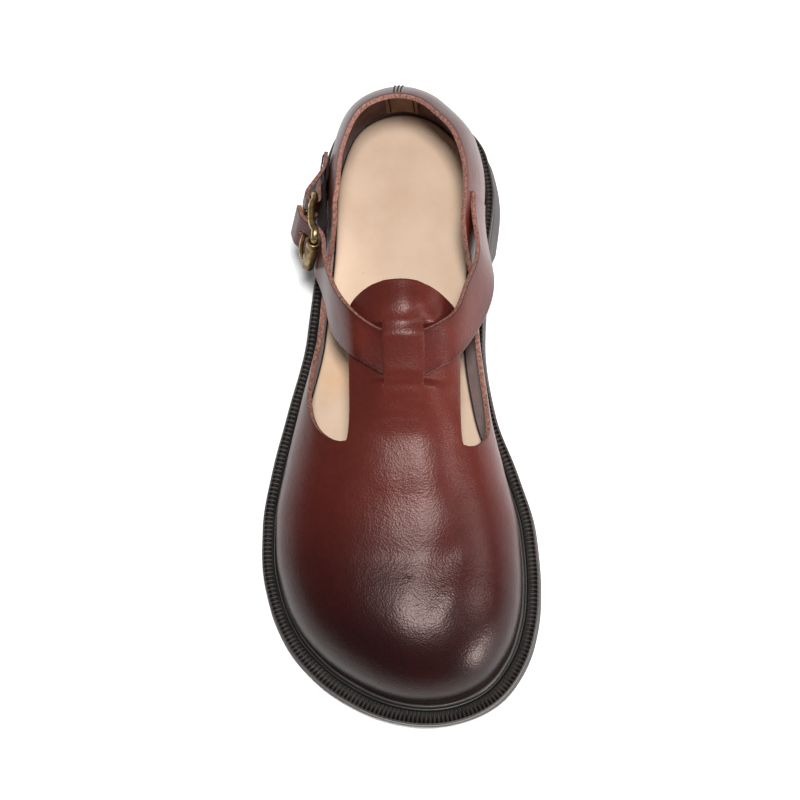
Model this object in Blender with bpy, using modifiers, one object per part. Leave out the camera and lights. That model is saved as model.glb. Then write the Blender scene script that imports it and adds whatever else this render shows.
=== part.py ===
# T-bar mary jane shoe, right foot, standing empty on its sole.
# Metres, +Z up, toe towards -Y, big toe side towards +X.
# The origin is on the ground under the middle of the heel.

import bpy
import bmesh
from math import acos, asin, cos, floor, pi, radians, sin, sqrt
from mathutils import Vector

# Driving dimensions of the sole
overall_length = 0.257      # outsole, heel to toe
ball_width = 0.110          # outsole at the ball
heel_height = 0.024         # ground to the seat of the upper at the heel
heel_centre = 0.034         # heel's back edge to the middle of the heel block
ledge_width = 0.0070        # rand that shows outside the upper at the ball
rand_height = 0.0034
rib_count = 176
rib_depth = 0.0010
rib_length = 0.0044
sole_flare = 0.0022         # how far the heel block widens to the ground
tread_depth = 0.0016
tread_width = 0.0030
tread_pitch = 0.0095

# Driving dimensions of the upper
leather = 0.0018            # upper
instep_height = 0.088       # ground to the top of the last at the instep
collar_height = 0.052       # seat to the collar at the back of the heel
tbar_half = 0.0214          # half the width of the T-bar
loop_half = 0.0070          # half the width of the loop that holds the strap
slit_width = 0.0008
slit_ramp = 0.0022          # length over which the loop rises clear of the strap
insole_rise = 0.0022        # insole's top above the seat
insole_bevel = 0.0007

# Driving dimensions of the strap and the buckle
strap_thick = 0.0018
strap_width = 0.0195
bar_radius = 0.0014         # bars and rails of the buckle's frame
buckle_length = 0.0212      # back bar to front bar, centre to centre
buckle_inside = 0.0215      # between the side rails
buckle_corner = 0.0034
rail_bow = 0.0014           # how far the side rails stand out in the middle
roller_radius = 0.0026
roller_wall = 0.0007
prong_radius = 0.0009
prong_slot = 0.0036         # width of the strap's hole and of the tab's slot
tab_thick = 0.0014
tab_width = 0.0180
elastic_thick = 0.0011
elastic_width = 0.0170
heel_strip_width = 0.0140   # reinforcement of the back seam, inside the heel
heel_strip_thick = 0.0009

clearance = 0.0003          # between neighbouring curved pieces
seat_gap = 0.0006           # between the layers of the sole and the upper

# Outsole's outline: place along the length, then middle and half width in ball widths
sole_outline = (
    dict(along=0.000, middle=0.000, half=0.000),
    dict(along=0.034, middle=-0.003, half=0.200),
    dict(along=0.100, middle=0.013, half=0.298),
    dict(along=0.170, middle=0.012, half=0.325),
    dict(along=0.270, middle=-0.003, half=0.316),
    dict(along=0.390, middle=-0.025, half=0.325),
    dict(along=0.510, middle=-0.038, half=0.380),
    dict(along=0.600, middle=-0.024, half=0.445),
    dict(along=0.690, middle=-0.007, half=0.493),
    dict(along=0.750, middle=0.002, half=0.500),
    dict(along=0.810, middle=0.018, half=0.486),
    dict(along=0.870, middle=0.038, half=0.445),
    dict(along=0.930, middle=0.067, half=0.356),
    dict(along=0.970, middle=0.092, half=0.245),
    dict(along=1.000, middle=0.112, half=0.000),
)

# Underside and seat of the sole in heel heights, flare in sole flares, ledge in ledge widths
sole_profile = (
    dict(along=0.000, ground=0.10, seat=1.00, flare=0.6, ledge=0.80),
    dict(along=0.030, ground=0.00, seat=1.00, flare=1.0, ledge=0.80),
    dict(along=0.235, ground=0.00, seat=0.93, flare=1.0, ledge=0.78),
    dict(along=0.262, ground=0.28, seat=0.90, flare=0.6, ledge=0.78),
    dict(along=0.350, ground=0.27, seat=0.78, flare=0.3, ledge=0.80),
    dict(along=0.480, ground=0.13, seat=0.59, flare=0.3, ledge=0.86),
    dict(along=0.590, ground=0.00, seat=0.50, flare=0.4, ledge=0.95),
    dict(along=0.780, ground=0.00, seat=0.45, flare=0.4, ledge=1.00),
    dict(along=0.880, ground=0.09, seat=0.48, flare=0.4, ledge=1.08),
    dict(along=0.950, ground=0.21, seat=0.58, flare=0.3, ledge=1.18),
    dict(along=1.000, ground=0.34, seat=0.70, flare=0.0, ledge=1.22),
)

# Crown of the last: ridge in ball widths, height in instep heights, squareness of its arch,
# and how far each side stands past its seat, in leather thicknesses
last_crown = (
    dict(along=0.230, ridge=0.010, crown=1.04, square=2.4, outer=0.3, inner=1.9),
    dict(along=0.260, ridge=0.014, crown=1.04, square=2.2, outer=0.2, inner=1.9),
    dict(along=0.300, ridge=0.020, crown=1.03, square=2.1, outer=0.2, inner=2.1),
    dict(along=0.360, ridge=0.028, crown=0.975, square=2.1, outer=0.2, inner=2.6),
    dict(along=0.390, ridge=0.030, crown=0.925, square=2.0, outer=0.3, inner=3.0),
    dict(along=0.450, ridge=0.034, crown=0.815, square=2.0, outer=0.6, inner=3.6),
    dict(along=0.510, ridge=0.036, crown=0.735, square=2.1, outer=0.6, inner=3.2),
    dict(along=0.580, ridge=0.038, crown=0.665, square=2.2, outer=0.6, inner=2.0),
    dict(along=0.660, ridge=0.042, crown=0.615, square=2.3, outer=0.6, inner=1.0),
    dict(along=0.730, ridge=0.048, crown=0.566, square=2.4, outer=0.6, inner=0.7),
    dict(along=0.772, ridge=0.053, crown=0.543, square=2.5, outer=0.6, inner=0.6),
    dict(along=0.795, ridge=0.055, crown=0.540, square=2.5, outer=0.6, inner=0.6),
)
overhang_height = 0.020     # height above the seat at which a side reaches its full width

# Top edge of the walls above the seat, in collar heights, on the outer and inner side
wall_rim = (
    dict(along=0.000, outer=1.00, inner=1.00),
    dict(along=0.070, outer=0.99, inner=0.99),
    dict(along=0.130, outer=0.96, inner=0.96),
    dict(along=0.200, outer=0.92, inner=0.91),
    dict(along=0.250, outer=0.81, inner=0.86),
    dict(along=0.285, outer=0.71, inner=0.77),
    dict(along=0.310, outer=0.57, inner=0.66),
    dict(along=0.335, outer=0.43, inner=0.54),
    dict(along=0.370, outer=0.38, inner=0.43),
    dict(along=0.420, outer=0.36, inner=0.37),
    dict(along=0.460, outer=0.41, inner=0.36),
    dict(along=0.500, outer=0.49, inner=0.36),
    dict(along=0.545, outer=0.61, inner=0.42),
    dict(along=0.590, outer=0.68, inner=0.54),
)

heel_pivot = 0.230          # the last's sections fan out behind this share of the length
toe_pivot = 0.795           # and in front of this one
flap_end = 0.379            # free end of the T-bar
flap_round = 0.036
flap_square = 3.1           # 2 would round the flap's end as an ellipse, more is squarer
slit_back = 0.424           # both ends of the two slits
slit_front = 0.516
cutout_end = 0.590          # front of both cut-outs
cutout_round = 0.055
cutout_lean = 0.13          # how far the closing edge leaves the T-bar's own line
round_share = 0.985         # share of a full quarter round at the flap's end and the cut-outs
wall_limit = 0.85           # the wall's line in front of them, at most, in climbs of the T-bar's line

heel_y = heel_centre


def interpolate(table, column, share):
    """Monotone cubic through one column of a table, so that no row is overshot."""
    rows = [(row["along"], row[column]) for row in table]
    if share <= rows[0][0]:
        return rows[0][1]
    if share >= rows[-1][0]:
        return rows[-1][1]
    slopes = [(b[1] - a[1]) / (b[0] - a[0]) for a, b in zip(rows, rows[1:])]
    tangents = [slopes[0]]
    for left, right in zip(slopes, slopes[1:]):
        tangents.append(0.0 if left * right <= 0 else 2 * left * right / (left + right))
    tangents.append(slopes[-1])
    i = max(k for k in range(len(rows) - 1) if rows[k][0] <= share)
    (x0, y0), (x1, y1) = rows[i], rows[i + 1]
    width = x1 - x0
    t = (share - x0) / width
    return ((2 * t ** 3 - 3 * t ** 2 + 1) * y0 + (t ** 3 - 2 * t ** 2 + t) * width * tangents[i]
            + (3 * t ** 2 - 2 * t ** 3) * y1 + (t ** 3 - t ** 2) * width * tangents[i + 1])


def turn_of(share):
    """A place along the length as an angle, so that both ends of the outline come out round."""
    return acos(1 - 2 * share)


turning_outline = tuple(dict(row, along=turn_of(row["along"])) for row in sole_outline)


def outline_point(share, side):
    """Point of the outsole's outline; side is -1 on the outer side and 1 on the big toe side."""
    turn = turn_of(share)
    middle = interpolate(turning_outline, "middle", turn) * ball_width
    half = interpolate(turning_outline, "half", turn) * ball_width
    return Vector((middle + side * half, heel_y - share * overall_length))


def outline_offset(share, side, inward):
    """The same point moved inwards, square to the outline."""
    step = 0.0015
    turn = turn_of(share)
    before = outline_point(0.5 - 0.5 * cos(max(turn - step, 0)), side)
    after = outline_point(0.5 - 0.5 * cos(min(turn + step, pi)), side)
    if turn < step:
        normal = Vector((0, 1))
    elif turn > pi - step:
        normal = Vector((0, -1))
    else:
        run = (after - before).normalized()
        normal = Vector((-run.y, run.x)) * side
    return outline_point(share, side) - normal * inward


def share_of(y):
    return min(max((heel_y - y) / overall_length, 0.0), 1.0)


def ground(y):
    return interpolate(sole_profile, "ground", share_of(y)) * heel_height


def seat(y):
    return interpolate(sole_profile, "seat", share_of(y)) * heel_height


def ledge(share):
    return interpolate(sole_profile, "ledge", share) * ledge_width


def smooth(value):
    value = min(max(value, 0.0), 1.0)
    return value * value * (3 - 2 * value)


def last_column(column, share):
    return interpolate(last_crown, column, min(max(share, heel_pivot), toe_pivot))


def overhang(share, side):
    """How far the last stands past its seat on this side; both sides agree at the heel's back."""
    own = last_column("inner" if side > 0 else "outer", share)
    other = last_column("outer" if side > 0 else "inner", share)
    spread = smooth(share / heel_pivot)
    return (own * (1 + spread) + other * (1 - spread)) / 2 * leather


def last_point(share, side, climb, lift=0.0):
    """Point of the last's surface; climb is 0 at the seat and 1 on the ridge."""
    foot = outline_offset(share, side, ledge(share))
    crown_share = min(max(share, heel_pivot), toe_pivot)
    crown = Vector((last_column("ridge", share) * ball_width, heel_y - crown_share * overall_length))
    power = 2 / last_column("square", share)
    angle = climb * pi / 2
    base = seat(foot.y)
    height = (last_column("crown", share) * instep_height - base) * sin(angle) ** power
    past = overhang(share, side)
    tuck = past * max(1 - height / overhang_height, 0.0) ** 2
    reach = ((foot - crown).length + past) * max(cos(angle), 0.0) ** power - tuck
    across = crown + (foot - crown).normalized() * max(reach, 0.0)
    point = Vector((across.x, across.y, base + height))
    if lift:
        point += last_normal(share, side, climb) * lift
    return point


def last_normal(share, side, climb):
    """Outward normal, from neighbouring points of the same surface."""
    step = 0.004
    low, high = max(climb - step, 0.0), min(climb + step, 1.0)
    back, front = max(share - step, 0.0), min(share + step, 1.0)
    up = last_point(share, side, high) - last_point(share, side, low)
    along = last_point(front, side, climb) - last_point(back, side, climb)
    return (up.cross(along) * side).normalized()


def climb_to_height(share, side, height):
    """How far up the last's arch a height above the seat lies."""
    foot = outline_offset(share, side, ledge(share))
    arch = last_column("crown", share) * instep_height - seat(foot.y)
    rise = min(max(height / arch, 0.0), 0.999)
    return asin(rise ** (last_column("square", share) / 2)) / (pi / 2)


def climb_to_reach(share, side, distance):
    """How far up the last's arch a distance from the ridge lies."""
    foot = outline_offset(share, side, ledge(share))
    half = abs(foot.x - last_column("ridge", share) * ball_width) + overhang(share, side)
    reach = min(max(distance / half, 0.0), 1.0)
    return acos(reach ** (last_column("square", share) / 2)) / (pi / 2)


def rim_climb(share, side):
    column = "inner" if side > 0 else "outer"
    return climb_to_height(share, side, interpolate(wall_rim, column, share) * collar_height)


def rounding(part):
    """Width left at a part of the way round a quarter circle that stops short of its tip."""
    return sqrt(1 - (round_share * min(max(part, 0.0), 1.0)) ** 2)


def tbar_width_at(share):
    """Half width of the T-bar, rounded at its free end."""
    part = round_share * min(max((flap_end + flap_round - share) / flap_round, 0.0), 1.0)
    return tbar_half * (1 - part ** flap_square) ** (1 / flap_square)


def edges_at(share, side):
    """Climb of the wall's edge and of the T-bar's edge, which meet round the cut-out's front."""
    bar = climb_to_reach(share, side, tbar_width_at(share))
    wall = rim_climb(share, side)
    if share > cutout_end:
        wall = min(wall, wall_limit * bar)
    meet = bar - cutout_lean * (bar - wall)
    if share <= cutout_end - cutout_round:
        return wall, bar
    if share <= cutout_end:
        spread = rounding((share - cutout_end + cutout_round) / cutout_round)
    else:
        tip = rounding(1.0)
        spread = tip + (1 - tip) * smooth((share - cutout_end) / (toe_pivot - cutout_end))
    return meet + (wall - meet) * spread, meet + (bar - meet) * spread


def loop_lift(share):
    """Height of the loop above the T-bar's sides."""
    rise = leather + strap_thick + 4 * clearance
    ramp = slit_ramp / overall_length
    return rise * smooth((share - slit_back) / ramp) * smooth((slit_front - share) / ramp)


def stations():
    """Places along the length where the upper has a section, closer where its edges turn."""
    ramp = slit_ramp / overall_length
    rows = [0.5 - 0.5 * cos(turn_of(heel_pivot) * i / 9) for i in range(9)]
    rows += [heel_pivot + (flap_end - heel_pivot) * i / 6 for i in range(6)]
    rows += [flap_end + flap_round * (1 - cos(pi / 2 * i / 5)) for i in range(5)]
    rows[-1] = slit_back
    rows += [slit_back + ramp * i / 3 for i in range(1, 4)]
    rows += [slit_back + ramp + (slit_front - slit_back - 2 * ramp) * i / 4 for i in range(1, 4)]
    rows += [slit_front - ramp * i / 3 for i in range(3, 0, -1)]
    rows += [slit_front]
    start = cutout_end - cutout_round
    rows += [start + cutout_round * sin(pi / 2 * i / 5) for i in range(6)]
    rows += [cutout_end + (toe_pivot - cutout_end) * i / 8 for i in range(1, 8)]
    tip = pi - turn_of(toe_pivot)
    rows += [0.5 - 0.5 * cos(pi - tip * (1 - i / 10)) for i in range(11)]
    return sorted(rows)


def new_object(name, bm, collection):
    mesh = bpy.data.meshes.new(name)
    bm.to_mesh(mesh)
    bm.free()
    thing = bpy.data.objects.new(name, mesh)
    collection.objects.link(thing)
    return thing


def finish(thing, colour, roughness, metallic=0.0, sharp=40):
    """Give an object its own material and smooth shading."""
    material = bpy.data.materials.new(thing.name)
    material.use_nodes = True
    shader = material.node_tree.nodes["Principled BSDF"]
    shader.inputs["Base Color"].default_value = (*colour, 1)
    shader.inputs["Roughness"].default_value = roughness
    shader.inputs["Metallic"].default_value = metallic
    thing.data.materials.clear()
    thing.data.materials.append(material)
    thing.data.shade_smooth()
    thing.data.set_sharp_from_angle(angle=radians(sharp))
    return thing


def add_solidify(thing, thickness, offset):
    wall = thing.modifiers.new("wall", "SOLIDIFY")
    wall.thickness = thickness
    wall.offset = offset
    wall.use_even_offset = False
    return wall


def face_outwards(bm):
    bmesh.ops.recalc_face_normals(bm, faces=bm.faces)


def column_climbs(share, side):
    """Climbs of the upper's grid lines, from the seat to the ridge, with each strip's name."""
    if share > toe_pivot:
        part = smooth((share - toe_pivot) / (1 - toe_pivot)) / 2
        own = column_climbs(toe_pivot, side)
        other = column_climbs(toe_pivot, -side)
        return [(a + (b - a) * part, strip) for (a, strip), (b, _) in zip(own, other)]
    wall, bar = edges_at(share, side)
    scale = max(tbar_width_at(share) / tbar_half, 0.05)
    slit_outer = climb_to_reach(share, side, (loop_half + slit_width) * scale)
    slit_inner = climb_to_reach(share, side, loop_half * scale)
    lines = [(wall * i / 5, "wall") for i in range(5)]
    lines += [(wall + (bar - wall) * i / 3, "gap") for i in range(3)]
    lines += [(bar + (slit_outer - bar) * i / 3, "bar") for i in range(3)]
    lines += [(slit_outer, "slit"), (slit_inner, "loop"), (1.0, "end")]
    return lines


def make_upper(collection):
    """Vamp, T-bar, low side walls and quarters as one skin, thickened inwards."""
    bm = bmesh.new()
    rows = stations()
    grid = {}
    for side in (-1, 1):
        for i, share in enumerate(rows):
            for j, (climb, strip) in enumerate(column_climbs(share, side)):
                if share < flap_end - 1e-6 and j > 5:
                    continue
                lift = loop_lift(share) if strip in ("loop", "end") else 0.0
                grid[side, i, j] = bm.verts.new(last_point(share, side, climb, lift))
    names = [strip for _, strip in column_climbs(rows[0], 1)][:-1]
    for side in (-1, 1):
        for i in range(len(rows) - 1):
            middle = (rows[i] + rows[i + 1]) / 2
            for j, strip in enumerate(names):
                if strip != "wall" and middle < flap_end:
                    continue
                if strip == "gap" and middle < cutout_end:
                    continue
                if strip == "slit" and slit_back < middle < slit_front:
                    continue
                corners = [grid[side, i, j], grid[side, i, j + 1],
                           grid[side, i + 1, j + 1], grid[side, i + 1, j]]
                bm.faces.new(corners if side < 0 else corners[::-1])
    loose = [v for v in bm.verts if not v.link_faces]
    bmesh.ops.delete(bm, geom=loose, context="VERTS")
    bmesh.ops.remove_doubles(bm, verts=bm.verts, dist=2e-5)
    bmesh.ops.dissolve_degenerate(bm, edges=bm.edges, dist=2e-5)
    face_outwards(bm)
    top = max(bm.faces, key=lambda f: f.calc_center_median().z)
    if top.normal.z < 0:
        bmesh.ops.reverse_faces(bm, faces=bm.faces)
    upper = new_object("upper", bm, collection)
    add_solidify(upper, leather, -1)
    return finish(upper, (0.115, 0.028, 0.021), 0.38)


def perimeter(count):
    """Evenly spaced places round the outline, outer side first, as (share, side)."""
    fine = 720
    walk = [(0.5 - 0.5 * cos(pi * i / fine), -1) for i in range(fine)]
    walk += [(0.5 + 0.5 * cos(pi * i / fine), 1) for i in range(fine)]
    points = [outline_point(*place) for place in walk]
    lengths = [0.0]
    for a, b in zip(points, points[1:] + points[:1]):
        lengths.append(lengths[-1] + (b - a).length)
    places = []
    k = 0
    for i in range(count):
        goal = lengths[-1] * i / count
        while lengths[k + 1] < goal:
            k += 1
        part = (goal - lengths[k]) / (lengths[k + 1] - lengths[k])
        here = turn_of(walk[k][0])
        there = turn_of(walk[(k + 1) % len(walk)][0])
        places.append((0.5 - 0.5 * cos(here + (there - here) * part), walk[k][1]))
    return places


def sole_sections(count):
    """Sections of a sole layer, close together at both ends and at the heel's breast."""
    rows = [0.5 - 0.5 * cos(pi * i / count) for i in range(count + 1)]
    breast = [row["along"] for row in sole_profile if 0.2 < row["along"] < 0.3]
    rows = [row for row in rows if all(abs(row - b) > 0.008 for b in breast)]
    return sorted(rows + breast)


def layer(name, collection, count, profile):
    """Closed sole layer: rings given by profile, its top and underside run straight across."""
    bm = bmesh.new()
    rows = sole_sections(count)
    walk = [(row, -1) for row in rows[:-1]] + [(row, 1) for row in rows[:0:-1]]
    rings = []
    for place in walk:
        rings.append([bm.verts.new(point) for point in profile(*place)])
    total = len(rings)
    for i in range(total):
        here, there = rings[i], rings[(i + 1) % total]
        for j in range(len(here) - 1):
            bm.faces.new((here[j], there[j], there[j + 1], here[j + 1]))
    for level in (0, -1):
        for i in range(total // 2):
            outer = (rings[i][level], rings[i + 1][level])
            inner = (rings[-i - 1][level], rings[-i][level])
            corners = list(dict.fromkeys((outer[0], outer[1], inner[0], inner[1])))
            if len(corners) > 2:
                bm.faces.new(corners)
    face_outwards(bm)
    return new_object(name, bm, collection)


# Stretches of tread under the heel and the ball: places along, width in ball widths
tread_patches = (
    dict(start=0.055, end=0.205, width=0.62),
    dict(start=0.615, end=0.775, width=0.86),
)


def tread_cutter(cutters):
    """Bars across the tread, which leave grooves between the lugs."""
    bm = bmesh.new()
    for patch in tread_patches:
        count = floor((patch["end"] - patch["start"]) * overall_length / tread_pitch) + 1
        size = (patch["width"] * ball_width, tread_width, 2 * tread_depth)
        for i in range(count):
            y = heel_y - patch["start"] * overall_length - (i + 0.5) * tread_pitch
            made = bmesh.ops.create_cube(bm, size=1)
            bmesh.ops.scale(bm, verts=made["verts"], vec=size)
            bmesh.ops.translate(bm, verts=made["verts"], vec=(0, y, 0))
    cutter = new_object("tread_cutter", bm, cutters)
    cutter.hide_render = True
    cutter.display_type = "WIRE"
    return cutter


# Side of the outsole from the ground up: step inwards, share of the flare, level of its height
sole_side = (
    dict(step=0.0020, flare=1.00, level=0.00),
    dict(step=0.0000, flare=1.00, level=0.12),
    dict(step=0.0000, flare=0.45, level=0.52),
    dict(step=0.0000, flare=0.00, level=0.90),
    dict(step=0.0010, flare=0.00, level=0.93),
    dict(step=0.0010, flare=0.00, level=1.00),
)


def outsole_top(y):
    return seat(y) - rand_height - 2 * seat_gap


def make_outsole(collection, cutters):
    """Moulded bottom with its heel block, arch, toe spring and a step under the rand."""
    def profile(share, side):
        wide = interpolate(sole_profile, "flare", share) * sole_flare
        rows = []
        for row in sole_side:
            flat = outline_offset(share, side, row["step"] - row["flare"] * wide)
            low = ground(flat.y)
            rows.append(Vector((flat.x, flat.y, low + (outsole_top(flat.y) - low) * row["level"])))
        return rows

    outsole = layer("outsole", collection, 40, profile)
    cut = outsole.modifiers.new("tread", "BOOLEAN")
    cut.operation = "DIFFERENCE"
    cut.solver = "EXACT"
    cut.object = tread_cutter(cutters)
    return finish(outsole, (0.022, 0.016, 0.015), 0.62)


def make_rand(collection):
    """Welt strip round the whole sole, with ribs square to the outline."""
    bm = bmesh.new()
    rings = []
    for i, (share, side) in enumerate(perimeter(2 * rib_count)):
        low = (i % 2) * rib_depth
        inside = ledge(share) + leather
        rows = ((0.5 * low, -rand_height), (0.5 * low, -low), (rib_length, -low),
                (inside, 0.0), (inside, -rand_height))
        ring = []
        for inward, height in rows:
            flat = outline_offset(share, side, inward)
            ring.append(bm.verts.new((flat.x, flat.y, seat(flat.y) + height - seat_gap)))
        rings.append(ring)
    for here, there in zip(rings, rings[1:] + rings[:1]):
        for j in range(len(here)):
            k = (j + 1) % len(here)
            bm.faces.new((here[j], there[j], there[k], here[k]))
    face_outwards(bm)
    rand = new_object("rand", bm, collection)
    return finish(rand, (0.026, 0.019, 0.018), 0.55)


def make_insole(collection):
    """Footbed that fills the inside between the walls."""
    def profile(share, side):
        inside = ledge(share) + leather + seat_gap
        rows = []
        for inward in (inside, inside, inside + insole_bevel):
            flat = outline_offset(share, side, inward)
            rows.append(Vector((flat.x, flat.y, seat(flat.y) + insole_rise)))
        rows[0].z = outsole_top(rows[0].y) + clearance
        rows[1].z -= insole_bevel
        return rows

    return finish(layer("insole", collection, 30, profile), (0.74, 0.53, 0.36), 0.7)


# Buckle's front bar on the outer side, in shares of the length, ball width and instep height
front_bar_low = dict(along=0.309, across=-0.334, height=0.474)
front_bar_high = dict(along=0.285, across=-0.289, height=0.716)
strap_fall = radians(18)    # how steeply the strap drops towards the heel at the buckle
strap_swing = -0.06         # how far it swings outwards, per length towards the heel


def placed(along, across, height):
    """A place given in shares of the length, ball width and instep height."""
    return Vector((across * ball_width, heel_y - along * overall_length, height * instep_height))


class BuckleFrame:
    """Axes of the buckle: forward to its front bar, up along its bars, out from the shoe."""

    def __init__(self):
        low, high = placed(**front_bar_low), placed(**front_bar_high)
        self.up = (high - low).normalized()
        back = Vector((strap_swing, cos(strap_fall), -sin(strap_fall)))
        back -= self.up * back.dot(self.up)
        self.forward = -back.normalized()
        self.out = self.up.cross(self.forward).normalized()
        if self.out.x > 0:
            self.out = -self.out
        self.back = (low + high) / 2 - self.forward * buckle_length

    def point(self, forward, up, out):
        """Point measured from the middle of the back bar."""
        return self.back + self.forward * forward + self.up * up + self.out * out


def curve_body(name, collection, points, radius, closed=False, segments=3):
    """Round bar through points, as a mesh with its caps welded."""
    data = bpy.data.curves.new(name, "CURVE")
    data.dimensions = "3D"
    data.bevel_depth = radius
    data.bevel_resolution = segments
    data.use_fill_caps = not closed
    spline = data.splines.new("POLY")
    spline.points.add(len(points) - 1)
    for knot, point in zip(spline.points, points):
        knot.co = (*point, 1)
    spline.use_cyclic_u = closed
    guide = bpy.data.objects.new(name + "_route", data)
    collection.objects.link(guide)
    bpy.context.view_layer.update()
    evaluated = guide.evaluated_get(bpy.context.evaluated_depsgraph_get())
    mesh = bpy.data.meshes.new_from_object(evaluated)
    mesh.name = name
    bpy.data.objects.remove(guide)
    bm = bmesh.new()
    bm.from_mesh(mesh)
    bmesh.ops.remove_doubles(bm, verts=bm.verts, dist=1e-6)
    face_outwards(bm)
    bm.to_mesh(mesh)
    bm.free()
    thing = bpy.data.objects.new(name, mesh)
    collection.objects.link(thing)
    return thing


brass = (0.42, 0.27, 0.10)


def make_buckle_frame(collection, frame):
    """Rounded rectangle of brass bar, its side rails bowed outwards."""
    half = buckle_inside / 2 + bar_radius
    points = []
    corners = ((buckle_length, half, 90), (buckle_length, -half, 0), (0, -half, -90), (0, half, -180))
    for forward, up, start in corners:
        middle_forward = forward - buckle_corner if forward else buckle_corner
        middle_up = up - buckle_corner if up > 0 else up + buckle_corner
        for i in range(5):
            turn = radians(start - 90 * i / 4)
            x = middle_forward + buckle_corner * cos(turn)
            points.append(frame.point(x, middle_up + buckle_corner * sin(turn), 0))
    middles = [frame.point(buckle_length / 2, up, rail_bow) for up in (-half, half)]
    points = points[:10] + [middles[0]] + points[10:] + [middles[1]]
    ring = curve_body("buckle_frame", collection, points, bar_radius, closed=True)
    finish(ring, brass, 0.38, 1.0)


def make_roller(collection, frame):
    """Thin tube that turns on the front bar."""
    bm = bmesh.new()
    half = buckle_inside / 2 + bar_radius - buckle_corner
    sides = 18
    rings = []
    inner = roller_radius - roller_wall
    for end, radius in ((-1, inner), (-1, roller_radius), (1, roller_radius), (1, inner)):
        ring = []
        for i in range(sides):
            turn = 2 * pi * i / sides
            forward = buckle_length + radius * cos(turn)
            ring.append(bm.verts.new(frame.point(forward, end * half, radius * sin(turn))))
        rings.append(ring)
    for here, there in zip(rings, rings[1:] + rings[:1]):
        for i in range(sides):
            k = (i + 1) % sides
            bm.faces.new((here[i], here[k], there[k], there[i]))
    face_outwards(bm)
    finish(new_object("buckle_roller", bm, collection), (0.20, 0.17, 0.12), 0.45, 1.0)


# Prong from its hook to its tip: forward in buckle lengths, how far out in the distances
# at which it clears the back bar and the roller
prong_route = (
    dict(forward=0.25, bar=0.95, roller=0.00),
    dict(forward=0.50, bar=0.80, roller=0.00),
    dict(forward=0.70, bar=0.50, roller=0.50),
    dict(forward=0.85, bar=0.00, roller=0.97),
    dict(forward=1.00, bar=0.00, roller=1.00),
    dict(forward=1.12, bar=0.00, roller=0.92),
)


def make_prong(collection, frame):
    """Pin that hooks round the back bar and rests on the roller."""
    hook = bar_radius + clearance + prong_radius
    rest = roller_radius + clearance + prong_radius
    route = [(hook * cos(radians(turn)), hook * sin(radians(turn))) for turn in range(280, 89, -38)]
    route += [(row["forward"] * buckle_length, row["bar"] * hook + row["roller"] * rest)
              for row in prong_route]
    points = [frame.point(forward, 0, out) for forward, out in route]
    pin = curve_body("buckle_prong", collection, points, prong_radius, segments=2)
    finish(pin, brass, 0.36, 1.0)


def ribbon(name, collection, sections, thickness, gaps=()):
    """Band: sections hold points across it, gaps name missing (row, column) faces."""
    bm = bmesh.new()
    rows = [[bm.verts.new(point) for point in section] for section in sections]
    for i in range(len(rows) - 1):
        for j in range(len(rows[i]) - 1):
            if (i, j) not in gaps:
                bm.faces.new((rows[i][j], rows[i][j + 1], rows[i + 1][j + 1], rows[i + 1][j]))
    face_outwards(bm)
    band = new_object(name, bm, collection)
    add_solidify(band, thickness, 0)
    return band


# The strap where it hangs free, both edges in shares of the length, ball width and instep
# height, from its seam on the inner quarter up to the T-bar
inner_run = (
    dict(upper=(0.250, 0.292, 0.684), lower=(0.254, 0.313, 0.474)),
    dict(upper=(0.275, 0.303, 0.682), lower=(0.284, 0.331, 0.470)),
    dict(upper=(0.304, 0.300, 0.690), lower=(0.326, 0.347, 0.478)),
    dict(upper=(0.333, 0.276, 0.722), lower=(0.366, 0.330, 0.510)),
    dict(upper=(0.366, 0.247, 0.768), lower=(0.406, 0.298, 0.560)),
)
# The same from the T-bar down to the buckle on the outer side
outer_run = (
    dict(upper=(0.378, -0.200, 0.783), lower=(0.428, -0.222, 0.590)),
    dict(upper=(0.348, -0.230, 0.742), lower=(0.390, -0.243, 0.535)),
    dict(upper=(0.318, -0.250, 0.713), lower=(0.350, -0.266, 0.494)),
)
# The strap where it lies on the T-bar: distance from the ridge in half T-bars, both edges along
# the length, and extra lift in strap thicknesses
crossing = (
    dict(reach=0.86, upper=0.395, lower=0.465, lift=1.30),
    dict(reach=0.68, upper=0.410, lower=0.478, lift=0.75),
    dict(reach=0.50, upper=0.423, lower=0.491, lift=0.32),
    dict(reach=0.34, upper=0.438, lower=0.502, lift=0.05),
    dict(reach=0.22, upper=0.439, lower=0.503, lift=0.00),
    dict(reach=0.00, upper=0.440, lower=0.504, lift=0.00),
)
strap_columns = (0.0, 0.2, 0.41, 0.59, 0.8, 1.0)


def run_section(row):
    upper, lower = placed(*row["upper"]), placed(*row["lower"])
    return [upper.lerp(lower, part) for part in strap_columns]


# End of the strap past the roller: forward in buckle lengths, how far out from the frame's
# middle in strap_under below zero and in strap_over above it
strap_tail = (
    dict(forward=1.17, out=-1.00),
    dict(forward=1.00, out=-1.00),
    dict(forward=0.84, out=-0.80),
    dict(forward=0.70, out=-0.21),
    dict(forward=0.50, out=1.03),
    dict(forward=0.37, out=1.32),
    dict(forward=0.24, out=1.48),
)
strap_under = roller_radius + clearance + strap_thick / 2
strap_over = bar_radius + prong_radius + clearance + tab_thick
prong_hole = 3              # row of the tail at which the prong passes through the strap


def crossing_section(row, side):
    """Band across the T-bar, resting on its sides and under the loop."""
    lift = 2 * clearance + (0.5 + row["lift"]) * strap_thick
    points = []
    for part in strap_columns:
        share = row["upper"] + (row["lower"] - row["upper"]) * part
        climb = climb_to_reach(share, side, row["reach"] * tbar_half)
        points.append(last_point(share, side, climb, lift))
    return points


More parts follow.
